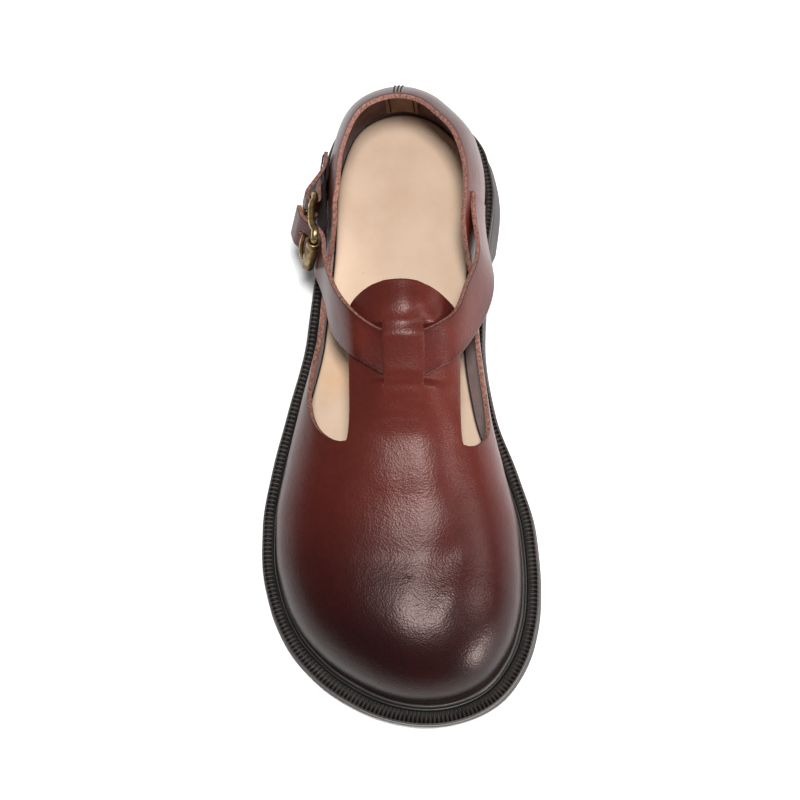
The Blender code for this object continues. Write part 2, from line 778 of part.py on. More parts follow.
def smoothed(sections):
    """One more section halfway between each pair, on a smooth curve through its neighbours."""
    rows = []
    last = len(sections) - 1
    for i, section in enumerate(sections):
        rows.append(section)
        if i == last:
            continue
        before, after = sections[max(i - 1, 0)], sections[min(i + 2, last)]
        rows.append([(b + c) * 0.5625 - (a + d) * 0.0625
                     for a, b, c, d in zip(before, section, sections[i + 1], after)])
    return rows


def make_strap(collection, frame):
    """Strap through the loop, under the roller and out through the frame."""
    sections = [run_section(row) for row in inner_run]
    sections += [crossing_section(row, 1) for row in crossing]
    sections += [crossing_section(row, -1) for row in reversed(crossing[:-1])]
    sections += [run_section(row) for row in outer_run]
    sections = smoothed(sections)
    hole = len(sections) + prong_hole
    for row in strap_tail:
        forward = row["forward"] * buckle_length
        out = row["out"] * (strap_over if row["out"] > 0 else strap_under)
        sections.append([frame.point(forward, (0.5 - part) * strap_width, out)
                         for part in strap_columns])
    strap = ribbon("ankle_strap", collection, sections, strap_thick, gaps={(hole, 2)})
    return finish(strap, (0.125, 0.031, 0.023), 0.36)


def on_quarter(along, side, height, lift):
    """Point over the quarter's outer face at a height above the seat."""
    return last_point(along, side, climb_to_height(along, side, height), lift)


# Tab on the outer quarter: places along the length and heights of its middle above the seat
tab_seam = (dict(along=0.132, height=0.500), dict(along=0.160, height=0.488))
elastic_seam = (dict(along=0.150, height=0.485), dict(along=0.172, height=0.470))


band_columns = (0.0, 0.25, 0.4, 0.6, 0.75, 1.0)
# Tab's wrap round the back bar: its outer layer starts, its inner layer runs and ends at
# these distances behind the bar, in buckle lengths, pressed flat to a share of the wrap
tab_outer_end = dict(behind=0.15, press=0.95)
tab_inner_run = (dict(behind=0.225, press=0.95), dict(behind=0.425, press=0.90))
# Elastic past the quarter: forward in buckle lengths, sag behind the frame in its thicknesses
elastic_run = (
    dict(forward=-0.25, sag=0.0),
    dict(forward=0.20, sag=0.3),
    dict(forward=0.60, sag=0.9),
)


def seam_section(row, width, lift):
    middle = row["height"] * collar_height
    return [on_quarter(row["along"], -1, middle + (0.5 - part) * width, lift) for part in band_columns]


def make_tab(collection, frame):
    """Leather tab from the quarter, wrapped round the back bar, slotted for the prong."""
    sections = [seam_section(row, tab_width, clearance * 2 + elastic_thick + tab_thick / 2)
                for row in tab_seam]
    wrap = bar_radius + clearance + tab_thick / 2
    route = [(-tab_outer_end["behind"] * buckle_length, tab_outer_end["press"] * wrap)]
    route += [(wrap * cos(radians(turn)), wrap * sin(radians(turn))) for turn in range(90, -91, -36)]
    route += [(-row["behind"] * buckle_length, -row["press"] * wrap) for row in tab_inner_run]
    slot = prong_slot / tab_width
    columns = (0.0, 0.22, 0.5 - slot / 2, 0.5 + slot / 2, 0.78, 1.0)
    for forward, out in route:
        row = [frame.point(forward, (0.5 - part) * tab_width, out) for part in columns]
        sections.append(row)
    gaps = {(row, 2) for row in range(2, len(sections) - 2)}
    tab = ribbon("buckle_tab", collection, sections, tab_thick, gaps)
    return finish(tab, (0.105, 0.027, 0.021), 0.4)


def make_elastic(collection, frame):
    """Elastic webbing from the quarter, behind the tab and the buckle."""
    lift = clearance + elastic_thick / 2
    sections = [seam_section(row, elastic_width, lift) for row in elastic_seam]
    behind = bar_radius + tab_thick + 3 * clearance + elastic_thick / 2
    for row in elastic_run:
        forward, out = row["forward"] * buckle_length, -behind - row["sag"] * elastic_thick
        sections.append([frame.point(forward, (0.5 - part) * elastic_width, out)
                         for part in band_columns])
    return finish(ribbon("elastic", collection, sections, elastic_thick), (0.012, 0.018, 0.015), 0.8)


def share_at_width(distance):
    """Place near the heel's back where the upper's seat lies this far from the middle."""
    low, high = 0.0, heel_pivot / 2
    for _ in range(30):
        middle = (low + high) / 2
        if outline_offset(middle, 1, ledge(middle)).x < distance:
            low = middle
        else:
            high = middle
    return low


strip_levels = (0.10, 0.30, 0.50, 0.70, 0.88)       # heights above the seat, in collar heights


def make_heel_strip(collection):
    """Strip sewn over the back seam, inside the heel."""
    lift = -(leather + seat_gap + clearance + heel_strip_thick / 2)
    sections = []
    for level in strip_levels:
        section = []
        for part in (-1.0, -0.5, 0.0, 0.5, 1.0):
            along = share_at_width(abs(part) * heel_strip_width / 2)
            side = 1 if part > 0 else -1
            section.append(on_quarter(along, side, level * collar_height, lift))
        sections.append(section)
    strip = ribbon("heel_strip", collection, sections, heel_strip_thick)
    return finish(strip, (0.45, 0.27, 0.17), 0.75)


def main():
    for thing in list(bpy.data.objects):
        bpy.data.objects.remove(thing, do_unlink=True)
    parts = bpy.data.collections.new("mary_jane_shoe")
    cutters = bpy.data.collections.new("cutters")
    bpy.context.scene.collection.children.link(parts)
    bpy.context.scene.collection.children.link(cutters)
    make_outsole(parts, cutters)
    make_rand(parts)
    make_insole(parts)
    make_upper(parts)
    make_heel_strip(parts)
    frame = BuckleFrame()
    make_buckle_frame(parts, frame)
    make_roller(parts, frame)
    make_prong(parts, frame)
    make_tab(parts, frame)
    make_elastic(parts, frame)
    make_strap(parts, frame)


main()
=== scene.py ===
import bpy
import bmesh
from functools import lru_cache
from math import acos, asin, cos, exp, floor, pi, radians, sin, sqrt
from mathutils import Matrix, Vector, noise


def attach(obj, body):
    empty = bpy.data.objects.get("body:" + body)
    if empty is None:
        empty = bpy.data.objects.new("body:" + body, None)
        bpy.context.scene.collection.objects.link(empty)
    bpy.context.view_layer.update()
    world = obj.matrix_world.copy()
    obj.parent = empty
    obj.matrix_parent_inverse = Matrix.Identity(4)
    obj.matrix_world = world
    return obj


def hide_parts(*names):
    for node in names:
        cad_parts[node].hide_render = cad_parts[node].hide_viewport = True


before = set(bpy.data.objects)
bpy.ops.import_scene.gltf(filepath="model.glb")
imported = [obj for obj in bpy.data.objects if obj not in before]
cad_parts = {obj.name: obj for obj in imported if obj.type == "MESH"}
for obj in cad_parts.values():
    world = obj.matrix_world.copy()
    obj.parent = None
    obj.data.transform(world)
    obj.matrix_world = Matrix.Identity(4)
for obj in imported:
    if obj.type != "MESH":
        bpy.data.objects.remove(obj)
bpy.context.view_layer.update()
root = "root"

# where the camera stands: the photo is taken from above the toes, a little to the inner side
cameraSetup = dict(
    elevation=75.0,
    distance=1.0,
    photoAim=(0.0586, -0.0804, 0.0),
    aim=(0.000, -0.094, 0.022),
    lens=110.0,
)


def buildCamera():
    tilt = radians(cameraSetup["elevation"])
    back = Vector((0, -cos(tilt), sin(tilt)))
    place = Vector(cameraSetup["photoAim"]) + back * cameraSetup["distance"]
    data = bpy.data.cameras.new("camera")
    data.lens = cameraSetup["lens"]
    data.clip_start = 0.01
    camera = bpy.data.objects.new("camera", data)
    camera.location = place
    forward = (Vector(cameraSetup["aim"]) - place).normalized()
    across = (Vector((1, 0, 0)) - forward * forward.x).normalized()     # keeps the shoe upright
    upward = across.cross(forward)
    camera.rotation_euler = Matrix((across, upward, -forward)).transposed().to_euler()
    bpy.context.scene.collection.objects.link(camera)
    bpy.context.scene.camera = camera


studio = dict(
    floorColour=(0.97, 0.97, 0.97),
    floorSize=6.0,
    worldLight=0.20,
    lamps=(
        dict(name="key", place=(0.15, -0.31, 2.0), aim=(0, -0.12, 0), size=(0.26, 0.34), power=50.0),
        dict(name="side", place=(0.90, -0.76, 0.22), aim=(0, -0.2, 0.03), size=(0.32, 0.28), power=13.0),
        dict(name="strip", place=(0.86, -0.13, 0.72), aim=(0, -0.12, 0.03), size=(0.16, 0.5), power=4.0),
    ),
)


def addArea(name, place, aim, size, power):
    data = bpy.data.lights.new(name, "AREA")
    data.shape = "RECTANGLE"
    data.size, data.size_y = size
    data.energy = power
    lamp = bpy.data.objects.new(name, data)
    lamp.location = place
    lamp.rotation_euler = (Vector(aim) - Vector(place)).to_track_quat("-Z", "Y").to_euler()
    bpy.context.scene.collection.objects.link(lamp)


def buildStudio():
    bm = bmesh.new()
    bmesh.ops.create_grid(bm, x_segments=1, y_segments=1, size=studio["floorSize"] / 2)
    mesh = bpy.data.meshes.new("floor")
    bm.to_mesh(mesh)
    bm.free()
    floor = bpy.data.objects.new("floor", mesh)
    bpy.context.scene.collection.objects.link(floor)
    paper = bpy.data.materials.new("floorPaper")
    paper.use_nodes = True
    shader = paper.node_tree.nodes["Principled BSDF"]
    shader.inputs["Base Color"].default_value = (*studio["floorColour"], 1)
    shader.inputs["Roughness"].default_value = 0.9
    mesh.materials.append(paper)
    for lamp in studio["lamps"]:
        addArea(**lamp)
    world = bpy.data.worlds.new("studio")
    bpy.context.scene.world = world
    world.use_nodes = True
    sky = world.node_tree.nodes["Background"]
    sky.inputs["Color"].default_value = (1, 1, 1, 1)
    sky.inputs["Strength"].default_value = studio["worldLight"]


def makeTable(columns, *rows):
    # rows of numbers under named columns
    return [dict(zip(columns.split(), row)) for row in rows]


# the shoe's own sizes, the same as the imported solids: toe towards -Y, big toe towards +X
shoe = dict(
    length=0.257, ball=0.110, heel=0.024, heelY=0.034, ledge=0.0070, rand=0.0034,
    instep=0.088, collar=0.052, leather=0.0018, seatGap=0.0006, clearance=0.0003,
    heelPivot=0.230, toePivot=0.795, overhang=0.020, flare=0.0022,
)

# outline of the sole: place along, then middle and half width in ball widths
soleOutline = makeTable(
    "along middle half",
    (0.000, 0.000, 0.000),
    (0.034, -0.003, 0.200),
    (0.100, 0.013, 0.298),
    (0.170, 0.012, 0.325),
    (0.270, -0.003, 0.316),
    (0.390, -0.025, 0.325),
    (0.510, -0.038, 0.380),
    (0.600, -0.024, 0.445),
    (0.690, -0.007, 0.493),
    (0.750, 0.002, 0.500),
    (0.810, 0.018, 0.486),
    (0.870, 0.038, 0.445),
    (0.930, 0.067, 0.356),
    (0.970, 0.092, 0.245),
    (1.000, 0.112, 0.000),
)
# underside and seat in heel heights, flare in sole flares, ledge in ledge widths
soleProfile = makeTable(
    "along ground seat flare ledge",
    (0.000, 0.10, 1.00, 0.6, 0.80),
    (0.030, 0.00, 1.00, 1.0, 0.80),
    (0.235, 0.00, 0.93, 1.0, 0.78),
    (0.262, 0.28, 0.90, 0.6, 0.78),
    (0.350, 0.27, 0.78, 0.3, 0.80),
    (0.480, 0.13, 0.59, 0.3, 0.86),
    (0.590, 0.00, 0.50, 0.4, 0.95),
    (0.780, 0.00, 0.45, 0.4, 1.00),
    (0.880, 0.09, 0.48, 0.4, 1.08),
    (0.950, 0.21, 0.58, 0.3, 1.18),
    (1.000, 0.34, 0.70, 0.0, 1.22),
)
# the last: ridge in ball widths, crown in instep heights, squareness, overhang in leathers
lastCrown = makeTable(
    "along ridge crown square outer inner",
    (0.230, 0.010, 1.04, 2.4, 0.3, 1.9),
    (0.260, 0.014, 1.04, 2.2, 0.2, 1.9),
    (0.300, 0.020, 1.03, 2.1, 0.2, 2.1),
    (0.360, 0.028, 0.975, 2.1, 0.2, 2.6),
    (0.390, 0.030, 0.925, 2.0, 0.3, 3.0),
    (0.450, 0.034, 0.815, 2.0, 0.6, 3.6),
    (0.510, 0.036, 0.735, 2.1, 0.6, 3.2),
    (0.580, 0.038, 0.665, 2.2, 0.6, 2.0),
    (0.660, 0.042, 0.615, 2.3, 0.6, 1.0),
    (0.730, 0.048, 0.566, 2.4, 0.6, 0.7),
    (0.772, 0.053, 0.543, 2.5, 0.6, 0.6),
    (0.795, 0.055, 0.540, 2.5, 0.6, 0.6),
)
# top edge of the walls above the seat, in collar heights
wallRim = makeTable(
    "along outer inner",
    (0.000, 1.00, 1.00),
    (0.070, 0.99, 0.99),
    (0.130, 0.96, 0.96),
    (0.200, 0.92, 0.91),
    (0.250, 0.81, 0.86),
    (0.285, 0.71, 0.77),
    (0.310, 0.57, 0.66),
    (0.335, 0.43, 0.54),
    (0.370, 0.38, 0.43),
    (0.420, 0.36, 0.37),
    (0.460, 0.41, 0.36),
    (0.500, 0.49, 0.36),
    (0.545, 0.61, 0.42),
    (0.590, 0.68, 0.54),
)


def smooth(value):
    value = min(max(value, 0.0), 1.0)
    return value * value * (3 - 2 * value)


def makeCurve(table, column, turned=False):
    # a smooth line through one column that never runs past a row
    xs = [turnOf(row["along"]) if turned else row["along"] for row in table]
    ys = [row[column] for row in table]
    slopes = [(yb - ya) / (xb - xa) for xa, xb, ya, yb in zip(xs, xs[1:], ys, ys[1:])]
    tangents = [slopes[0]]
    for left, right in zip(slopes, slopes[1:]):
        tangents.append(0.0 if left * right <= 0 else 2 * left * right / (left + right))
    tangents.append(slopes[-1])

    def curve(x):
        if x <= xs[0]:
            return ys[0]
        if x >= xs[-1]:
            return ys[-1]
        i = max(k for k in range(len(xs) - 1) if xs[k] <= x)
        width = xs[i + 1] - xs[i]
        t = (x - xs[i]) / width
        return ((2 * t ** 3 - 3 * t ** 2 + 1) * ys[i] + (t ** 3 - 2 * t ** 2 + t) * width * tangents[i]
                + (3 * t ** 2 - 2 * t ** 3) * ys[i + 1] + (t ** 3 - t ** 2) * width * tangents[i + 1])
    return curve


def turnOf(share):
    return acos(1 - 2 * share)


def shareOfTurn(turn):
    return 0.5 - 0.5 * cos(turn)


outlineMiddle = makeCurve(soleOutline, "middle", turned=True)
outlineHalf = makeCurve(soleOutline, "half", turned=True)
groundCurve = makeCurve(soleProfile, "ground")
seatCurve = makeCurve(soleProfile, "seat")
flareCurve = makeCurve(soleProfile, "flare")
ledgeCurve = makeCurve(soleProfile, "ledge")
crownCurves = {name: makeCurve(lastCrown, name) for name in ("ridge", "crown", "square", "outer", "inner")}
rimCurves = {-1: makeCurve(wallRim, "outer"), 1: makeCurve(wallRim, "inner")}
sideNames = {-1: "outer", 1: "inner"}


def outlinePoint(share, side):
    turn = turnOf(share)
    across = (outlineMiddle(turn) + side * outlineHalf(turn)) * shoe["ball"]
    return Vector((across, shoe["heelY"] - share * shoe["length"]))


@lru_cache(maxsize=None)
def outlineFrame(share, side):
    # a point of the outline and its outward normal
    step = 0.0015
    turn = turnOf(share)
    if turn < step:
        return outlinePoint(share, side), Vector((0, 1))
    if turn > pi - step:
        return outlinePoint(share, side), Vector((0, -1))
    before = outlinePoint(shareOfTurn(turn - step), side)
    after = outlinePoint(shareOfTurn(turn + step), side)
    run = (after - before).normalized()
    return outlinePoint(share, side), Vector((-run.y, run.x)) * side


def outlineInset(share, side, inward):
    point, normal = outlineFrame(share, side)
    return point - normal * inward


def shareAt(y):
    return min(max((shoe["heelY"] - y) / shoe["length"], 0.0), 1.0)


def seatHeight(y):
    return seatCurve(shareAt(y)) * shoe["heel"]


def groundHeight(y):
    return groundCurve(shareAt(y)) * shoe["heel"]


def ledgeWidth(share):
    return ledgeCurve(share) * shoe["ledge"]


@lru_cache(maxsize=None)
def lastSection(share, side):
    # what one section of the last is built from
    held = min(max(share, shoe["heelPivot"]), shoe["toePivot"])
    foot = outlineInset(share, side, ledgeWidth(share))
    crown = Vector((crownCurves["ridge"](held) * shoe["ball"], shoe["heelY"] - held * shoe["length"]))
    own = crownCurves[sideNames[side]](held)
    other = crownCurves[sideNames[-side]](held)
    spread = smooth(share / shoe["heelPivot"])
    past = (own * (1 + spread) + other * (1 - spread)) / 2 * shoe["leather"]
    base = seatHeight(foot.y)
    rise = crownCurves["crown"](held) * shoe["instep"] - base
    return foot, crown, base, rise, crownCurves["square"](held), past


def lastPoint(share, side, climb, lift=0.0):
    # climb runs from 0 at the seat to 1 on the ridge
    foot, crown, base, rise, square, past = lastSection(share, side)
    angle = climb * pi / 2
    height = rise * sin(angle) ** (2 / square)
    tuck = past * max(1 - height / shoe["overhang"], 0.0) ** 2
    reach = ((foot - crown).length + past) * max(cos(angle), 0.0) ** (2 / square) - tuck
    across = crown + (foot - crown).normalized() * max(reach, 0.0)
    point = Vector((across.x, across.y, base + height))
    if lift:
        point += lastNormal(share, side, climb) * lift
    return point


def lastNormal(share, side, climb):
    step = 0.004
    up = lastPoint(share, side, min(climb + step, 1.0)) - lastPoint(share, side, max(climb - step, 0.0))
    back, front = max(share - step, 0.0), min(share + step, 1.0)
    along = lastPoint(front, side, climb) - lastPoint(back, side, climb)
    return (up.cross(along) * side).normalized()


def climbToHeight(share, side, height):
    rise, square = lastSection(share, side)[3:5]
    return asin(min(max(height / rise, 0.0), 0.999) ** (square / 2)) / (pi / 2)


def climbToReach(share, side, distance):
    foot, crown, square, past = (lastSection(share, side)[k] for k in (0, 1, 4, 5))
    half = abs(foot.x - crown.x) + past
    return acos(min(max(distance / half, 0.0), 1.0) ** (square / 2)) / (pi / 2)


def layGrid(across, along, place, keep=None, mark=None):
    # a flat grid whose vertices are moved to place(i, j); what keep(i, j) refuses is cut out
    bm = bmesh.new()
    bmesh.ops.create_grid(bm, x_segments=across, y_segments=along, size=0.5)
    layer = bm.verts.layers.float.new(mark) if mark else None
    spots = {}
    for vert in bm.verts:
        spots[vert] = (round((vert.co.x + 0.5) * across), round((vert.co.y + 0.5) * along))
    if keep:
        gone = []
        for face in bm.faces:
            corner = [spots[vert] for vert in face.verts]
            if not keep(min(i for i, j in corner), min(j for i, j in corner)):
                gone.append(face)
        bmesh.ops.delete(bm, geom=gone, context="FACES")
    for vert in bm.verts:
        if mark:
            vert.co, vert[layer] = place(*spots[vert])
        else:
            vert.co = place(*spots[vert])
    return bm


def closeUp(bm, distance=1e-5):
    bmesh.ops.remove_doubles(bm, verts=bm.verts, dist=distance)
    bmesh.ops.dissolve_degenerate(bm, edges=bm.edges, dist=distance / 10)
    bmesh.ops.recalc_face_normals(bm, faces=bm.faces)
    return bm


def faceTowards(bm, spot, direction):
    # turns an open skin so that its face nearest to spot looks along direction
    bm.normal_update()
    chosen = min(bm.faces, key=lambda face: (face.calc_center_median() - spot).length)
    if chosen.normal.dot(direction) < 0:
        bmesh.ops.reverse_faces(bm, faces=bm.faces)


# a walled piece has its materials in the order face, back, cut edge
def showPiece(name, bm, materials, replaced=None, wall=None, edge=None):
    mesh = bpy.data.meshes.new(name)
    bm.to_mesh(mesh)
    bm.free()
    mesh.shade_smooth()
    for material in materials:
        mesh.materials.append(material)
    piece = bpy.data.objects.new(name, mesh)
    bpy.context.scene.collection.objects.link(piece)
    if wall:
        shell = piece.modifiers.new("wall", "SOLIDIFY")
        shell.thickness, shell.offset = wall
        shell.use_even_offset = False
        shell.material_offset = 1 if len(materials) > 2 else 0
        shell.material_offset_rim = len(materials) - 1
    if edge:
        rounding = piece.modifiers.new("edge", "BEVEL")
        rounding.width = edge
        rounding.segments = 2
        rounding.limit_method = "ANGLE"
        rounding.angle_limit = radians(50)
    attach(piece, root)
    if replaced:
        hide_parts(replaced)
    print("built", name, len(mesh.polygons), "faces")


# materials
def addNode(tree, kind, inputs=None, **settings):
    node = tree.nodes.new(kind)
    for key, value in settings.items():
        setattr(node, key, value)
    for key, value in (inputs or {}).items():
        if isinstance(value, bpy.types.NodeSocket):
            tree.links.new(value, node.inputs[key])
        else:
            node.inputs[key].default_value = value
    return node


def addRamp(tree, factor, stops):
    ramp = addNode(tree, "ShaderNodeValToRGB", {"Fac": factor})
    band = ramp.color_ramp
    while len(band.elements) < len(stops):
        band.elements.new(0.5)
    for element, (place, colour) in zip(band.elements, stops):
        element.position = place
        element.color = (*colour, 1)
    return ramp.outputs["Color"]


def addMath(tree, operation, first, second=0.0, clamp=False):
    node = addNode(tree, "ShaderNodeMath", {0: first, 1: second}, operation=operation, use_clamp=clamp)
    return node.outputs["Value"]


def addSwing(tree, value, noiseValue, amount, clamp=False):
    # a value that noise moves up and down
    swing = addMath(tree, "MULTIPLY", addMath(tree, "SUBTRACT", noiseValue, 0.5), amount)
    return addMath(tree, "ADD", value, swing, clamp)


def addMix(tree, factor, first, second, blend="MIX"):
    node = addNode(tree, "ShaderNodeMix", data_type="RGBA", blend_type=blend)
    for socket, value in (("Factor_Float", factor), ("A_Color", first), ("B_Color", second)):
        target = next(s for s in node.inputs if s.identifier == socket)
        if isinstance(value, bpy.types.NodeSocket):
            tree.links.new(value, target)
        else:
            target.default_value = value if isinstance(value, float) else (*value, 1)
    return next(s for s in node.outputs if s.identifier == "Result_Color")


def addNoise(tree, spot, scale, detail=3.0, roughness=0.55):
    node = addNode(tree, "ShaderNodeTexNoise", {"Vector": spot, "Scale": scale, "Detail": detail,
                                                "Roughness": roughness})
    return node.outputs["Fac"]


def addCells(tree, spot, scale):
    return addNode(tree, "ShaderNodeTexVoronoi", {"Vector": spot, "Scale": scale}).outputs["Distance"]


def addBump(tree, height, strength, distance, below=None):
    inputs = {"Height": height, "Strength": strength, "Distance": distance}
    if below:
        inputs["Normal"] = below
    return addNode(tree, "ShaderNodeBump", inputs).outputs["Normal"]


def startMaterial(name, roughness=0.5, metallic=0.0, **sockets):
    material = bpy.data.materials.new(name)
    material.use_nodes = True
    tree = material.node_tree
    shader = tree.nodes["Principled BSDF"]
    shader.inputs["Roughness"].default_value = roughness
    shader.inputs["Metallic"].default_value = metallic
    for key, value in sockets.items():
        shader.inputs[key.replace("_", " ")].default_value = value
    spot = addNode(tree, "ShaderNodeTexCoord").outputs["Object"]
    return material, tree, shader, spot


def readMark(tree, name):
    return addNode(tree, "ShaderNodeAttribute", attribute_name=name).outputs["Fac"]


def finishLook(tree, shader, colour, normal, rough=None):
    tree.links.new(colour, shader.inputs["Base Color"])
    tree.links.new(normal, shader.inputs["Normal"])
    if rough:
        tree.links.new(rough, shader.inputs["Roughness"])


# burnished upper leather: the darker the mark, the more it was burnished
leatherLook = dict(
    pale=(0.108, 0.0200, 0.0120),
    middle=(0.057, 0.0089, 0.0066),
    dark=(0.019, 0.0032, 0.0031),
    deep=(0.0048, 0.0012, 0.0015),
    clouds=(38.0, 4.0), cloudSwing=0.30,
    flecks=(420.0, 2.0), fleckSwing=0.14,
    wrinkles=(160.0, 5.0, 0.6), wrinkleDepth=0.0006,
    grainSize=1300.0, grainDepth=0.00012,
    roughness=0.32, roughSwing=0.16,
    glint=(1.0, 0.78, 0.74),
)


def makeLeather():
    look = leatherLook
    material, tree, shader, spot = startMaterial("burnishedLeather", Specular_IOR_Level=0.20)
    clouds = addNoise(tree, spot, *look["clouds"])
    shade = addSwing(tree, readMark(tree, "burnish"), clouds, look["cloudSwing"])
    shade = addSwing(tree, shade, addNoise(tree, spot, *look["flecks"]), look["fleckSwing"], clamp=True)
    colour = addRamp(tree, shade, ((0.0, look["pale"]), (0.35, look["middle"]),
                                   (0.7, look["dark"]), (1.0, look["deep"])))
    small = addMath(tree, "MULTIPLY", addNoise(tree, spot, look["grainSize"] * 2.2, 2.0), 0.7)
    grain = addMath(tree, "ADD", addCells(tree, spot, look["grainSize"]), small)
    relief = addBump(tree, addNoise(tree, spot, *look["wrinkles"]), 0.25, look["wrinkleDepth"])
    relief = addBump(tree, grain, 0.42, look["grainDepth"], relief)
    finishLook(tree, shader, colour, relief, addSwing(tree, look["roughness"], clouds, look["roughSwing"]))
    shader.inputs["Specular Tint"].default_value = (*look["glint"], 1)
    return material


# plain hides and thread: dark and light at their places on a mottle, which raises them if no nap does
hideLooks = dict(
    suedeSide=dict(
        dark=(0.32, (0.080, 0.028, 0.021)), light=(0.68, (0.20, 0.078, 0.056)),
        mottle=(260.0, 6.0, 0.7), nap=(1800.0, 4.0), strength=0.6, depth=0.0003,
        sockets=dict(roughness=0.95, Specular_IOR_Level=0.2, Sheen_Weight=0.3, Sheen_Roughness=0.6),
    ),
    rawEdge=dict(
        dark=(0.36, (0.060, 0.021, 0.017)), light=(0.62, (0.310, 0.150, 0.112)),
        mottle=(1100.0, 5.0, 0.8), strength=0.9, depth=0.0004,
        sockets=dict(roughness=0.9, Specular_IOR_Level=0.25),
    ),
    # the heel strip's own tan hide, darkened with painted shade for where it sits inside the heel
    liningHideWithPaintedShade=dict(
        dark=(0.3, (0.20, 0.105, 0.065)), light=(0.7, (0.31, 0.18, 0.115)),
        mottle=(220.0, 5.0), strength=0.4, depth=0.0003,
        sockets=dict(roughness=0.8, Specular_IOR_Level=0.3),
    ),
    thread=dict(
        dark=(0.3, (0.012, 0.006, 0.006)), light=(0.7, (0.050, 0.022, 0.018)),
        mottle=(2400.0, 3.0), strength=0.5, depth=0.0002,
        sockets=dict(roughness=0.8, Specular_IOR_Level=0.3),
    ),
)


def makeHide(name):
    look = hideLooks[name]
    material, tree, shader, spot = startMaterial(name, **look["sockets"])
    mottle = addNoise(tree, spot, *look["mottle"])
    nap = addNoise(tree, spot, *look["nap"]) if "nap" in look else mottle
    colour = addRamp(tree, mottle, (look["dark"], look["light"]))
    finishLook(tree, shader, colour, addBump(tree, nap, look["strength"], look["depth"]))
    return material


insoleLook = dict(
    hide=(0.540, 0.400, 0.292),
    worn=(0.490, 0.350, 0.247),
    stain=(0.55, 0.33, 0.17),
    speck=(0.20, 0.12, 0.08),
    stainPlace=(-0.026, -0.083, 0.018),
)


def makeInsoleHide():
    material, tree, shader, spot = startMaterial("insoleHide", roughness=0.72, Specular_IOR_Level=0.3)
    mottle = addNoise(tree, spot, 55.0, 5.0, 0.6)
    colour = addRamp(tree, mottle, ((0.30, insoleLook["worn"]), (0.60, insoleLook["hide"])))
    away = addNode(tree, "ShaderNodeVectorMath", {0: spot, 1: insoleLook["stainPlace"]},
                   operation="DISTANCE").outputs["Value"]
    away = addMath(tree, "ADD", away, addMath(tree, "MULTIPLY", mottle, 0.008))
    stained = addRamp(tree, away, ((0.006, (0.55, 0.55, 0.55)), (0.016, (0, 0, 0))))
    colour = addMix(tree, stained, colour, insoleLook["stain"])
    specks = addRamp(tree, addCells(tree, spot, 260.0), ((0.035, (1, 1, 1)), (0.06, (0, 0, 0))))
    rare = addRamp(tree, addNoise(tree, spot, 120.0, 1.0), ((0.60, (0, 0, 0)), (0.66, (1, 1, 1))))
    colour = addMix(tree, addMix(tree, 1.0, specks, rare, "MULTIPLY"), colour, insoleLook["speck"])
    pores = addBump(tree, addCells(tree, spot, 1500.0), 0.25, 0.00012)
    finishLook(tree, shader, colour, addBump(tree, mottle, 0.25, 0.0008, pores))
    return material


rubberLook = dict(
    face=(0.020, 0.015, 0.0135),
    dusty=(0.042, 0.034, 0.030),
    # groove: near-black painted shade for the rand's rib valleys and groove
    groove=(0.0022, 0.0017, 0.0016),
)


def makeRubber(name, roughness, paintShadeInGrooves=False):
    material, tree, shader, spot = startMaterial(name, Specular_IOR_Level=0.30)
    dust = addNoise(tree, spot, 90.0, 6.0, 0.65)
    colour = addRamp(tree, dust, ((0.35, rubberLook["face"]), (0.78, rubberLook["dusty"])))
    # painted shade: the groove mark darkens the rib valleys and the groove towards near-black
    if paintShadeInGrooves:
        colour = addMix(tree, readMark(tree, "groove"), colour, rubberLook["groove"])
    rough = addMath(tree, "ADD", addMath(tree, "MULTIPLY", dust, 0.3), roughness - 0.12)
    finishLook(tree, shader, colour, addBump(tree, addNoise(tree, spot, 700.0, 4.0), 0.25, 0.0002), rough)
    return material


brassLook = dict(
    bright=(0.62, 0.43, 0.19),
    tarnish=(0.13, 0.085, 0.045),
)


def makeBrass(name, tarnished, roughness):
    material, tree, shader, spot = startMaterial(name, metallic=1.0)
    patina = addNoise(tree, spot, 330.0, 5.0, 0.65)
    colour = addRamp(tree, patina, ((0.30 + tarnished, brassLook["tarnish"]),
                                    (0.62 + tarnished, brassLook["bright"])))
    rough = addMath(tree, "SUBTRACT", roughness + 0.12, addMath(tree, "MULTIPLY", patina, 0.25))
    finishLook(tree, shader, colour, addBump(tree, addNoise(tree, spot, 1400.0, 3.0), 0.15, 0.0001), rough)
    return material


weaveLook = dict(
    gap=(0.010, 0.005, 0.005),
    yarn=(0.040, 0.020, 0.017),
)


def makeElasticWeave():
    material, tree, shader, spot = startMaterial("elasticWeave", roughness=0.85, Specular_IOR_Level=0.25)
    across = addNode(tree, "ShaderNodeCombineXYZ", {"X": readMark(tree, "across")}).outputs["Vector"]
    ribs = addNode(tree, "ShaderNodeTexWave", {"Vector": across, "Scale": 420.0}).outputs["Fac"]
    yarns = addMath(tree, "MULTIPLY", ribs, addNoise(tree, spot, 2600.0, 2.0))
    colour = addRamp(tree, yarns, ((0.1, weaveLook["gap"]), (0.6, weaveLook["yarn"])))
    finishLook(tree, shader, colour, addBump(tree, ribs, 0.6, 0.0004))
    return material


# the upper: one skin over the last with its wall inwards, cut out round the T-bar
upperCut = dict(
    flapEnd=0.379, flapRound=0.036, flapSquare=3.1, tbarHalf=0.0214,
    slitBack=0.424, slitFront=0.516, slitWidth=0.0004, slitDrop=0.012, loopHalf=0.0070,
    backRun=0.044, frontRun=0.080, pinch=0.022,
    cutoutEnd=0.590, cutoutRound=0.055, cutoutLean=0.13, roundShare=0.985, wallLimit=0.85,
    wallLines=18, gapLines=3, barLines=9, loopLines=6,
    heelRows=36, backRows=34, slitRows=28, bendRows=14, frontRows=5, toeRows=36,
)
strapSize = dict(
    thick=0.0018, width=0.0195, tabThick=0.0014, tabWidth=0.0180,
    elasticThick=0.0011, elasticWidth=0.0170,
)


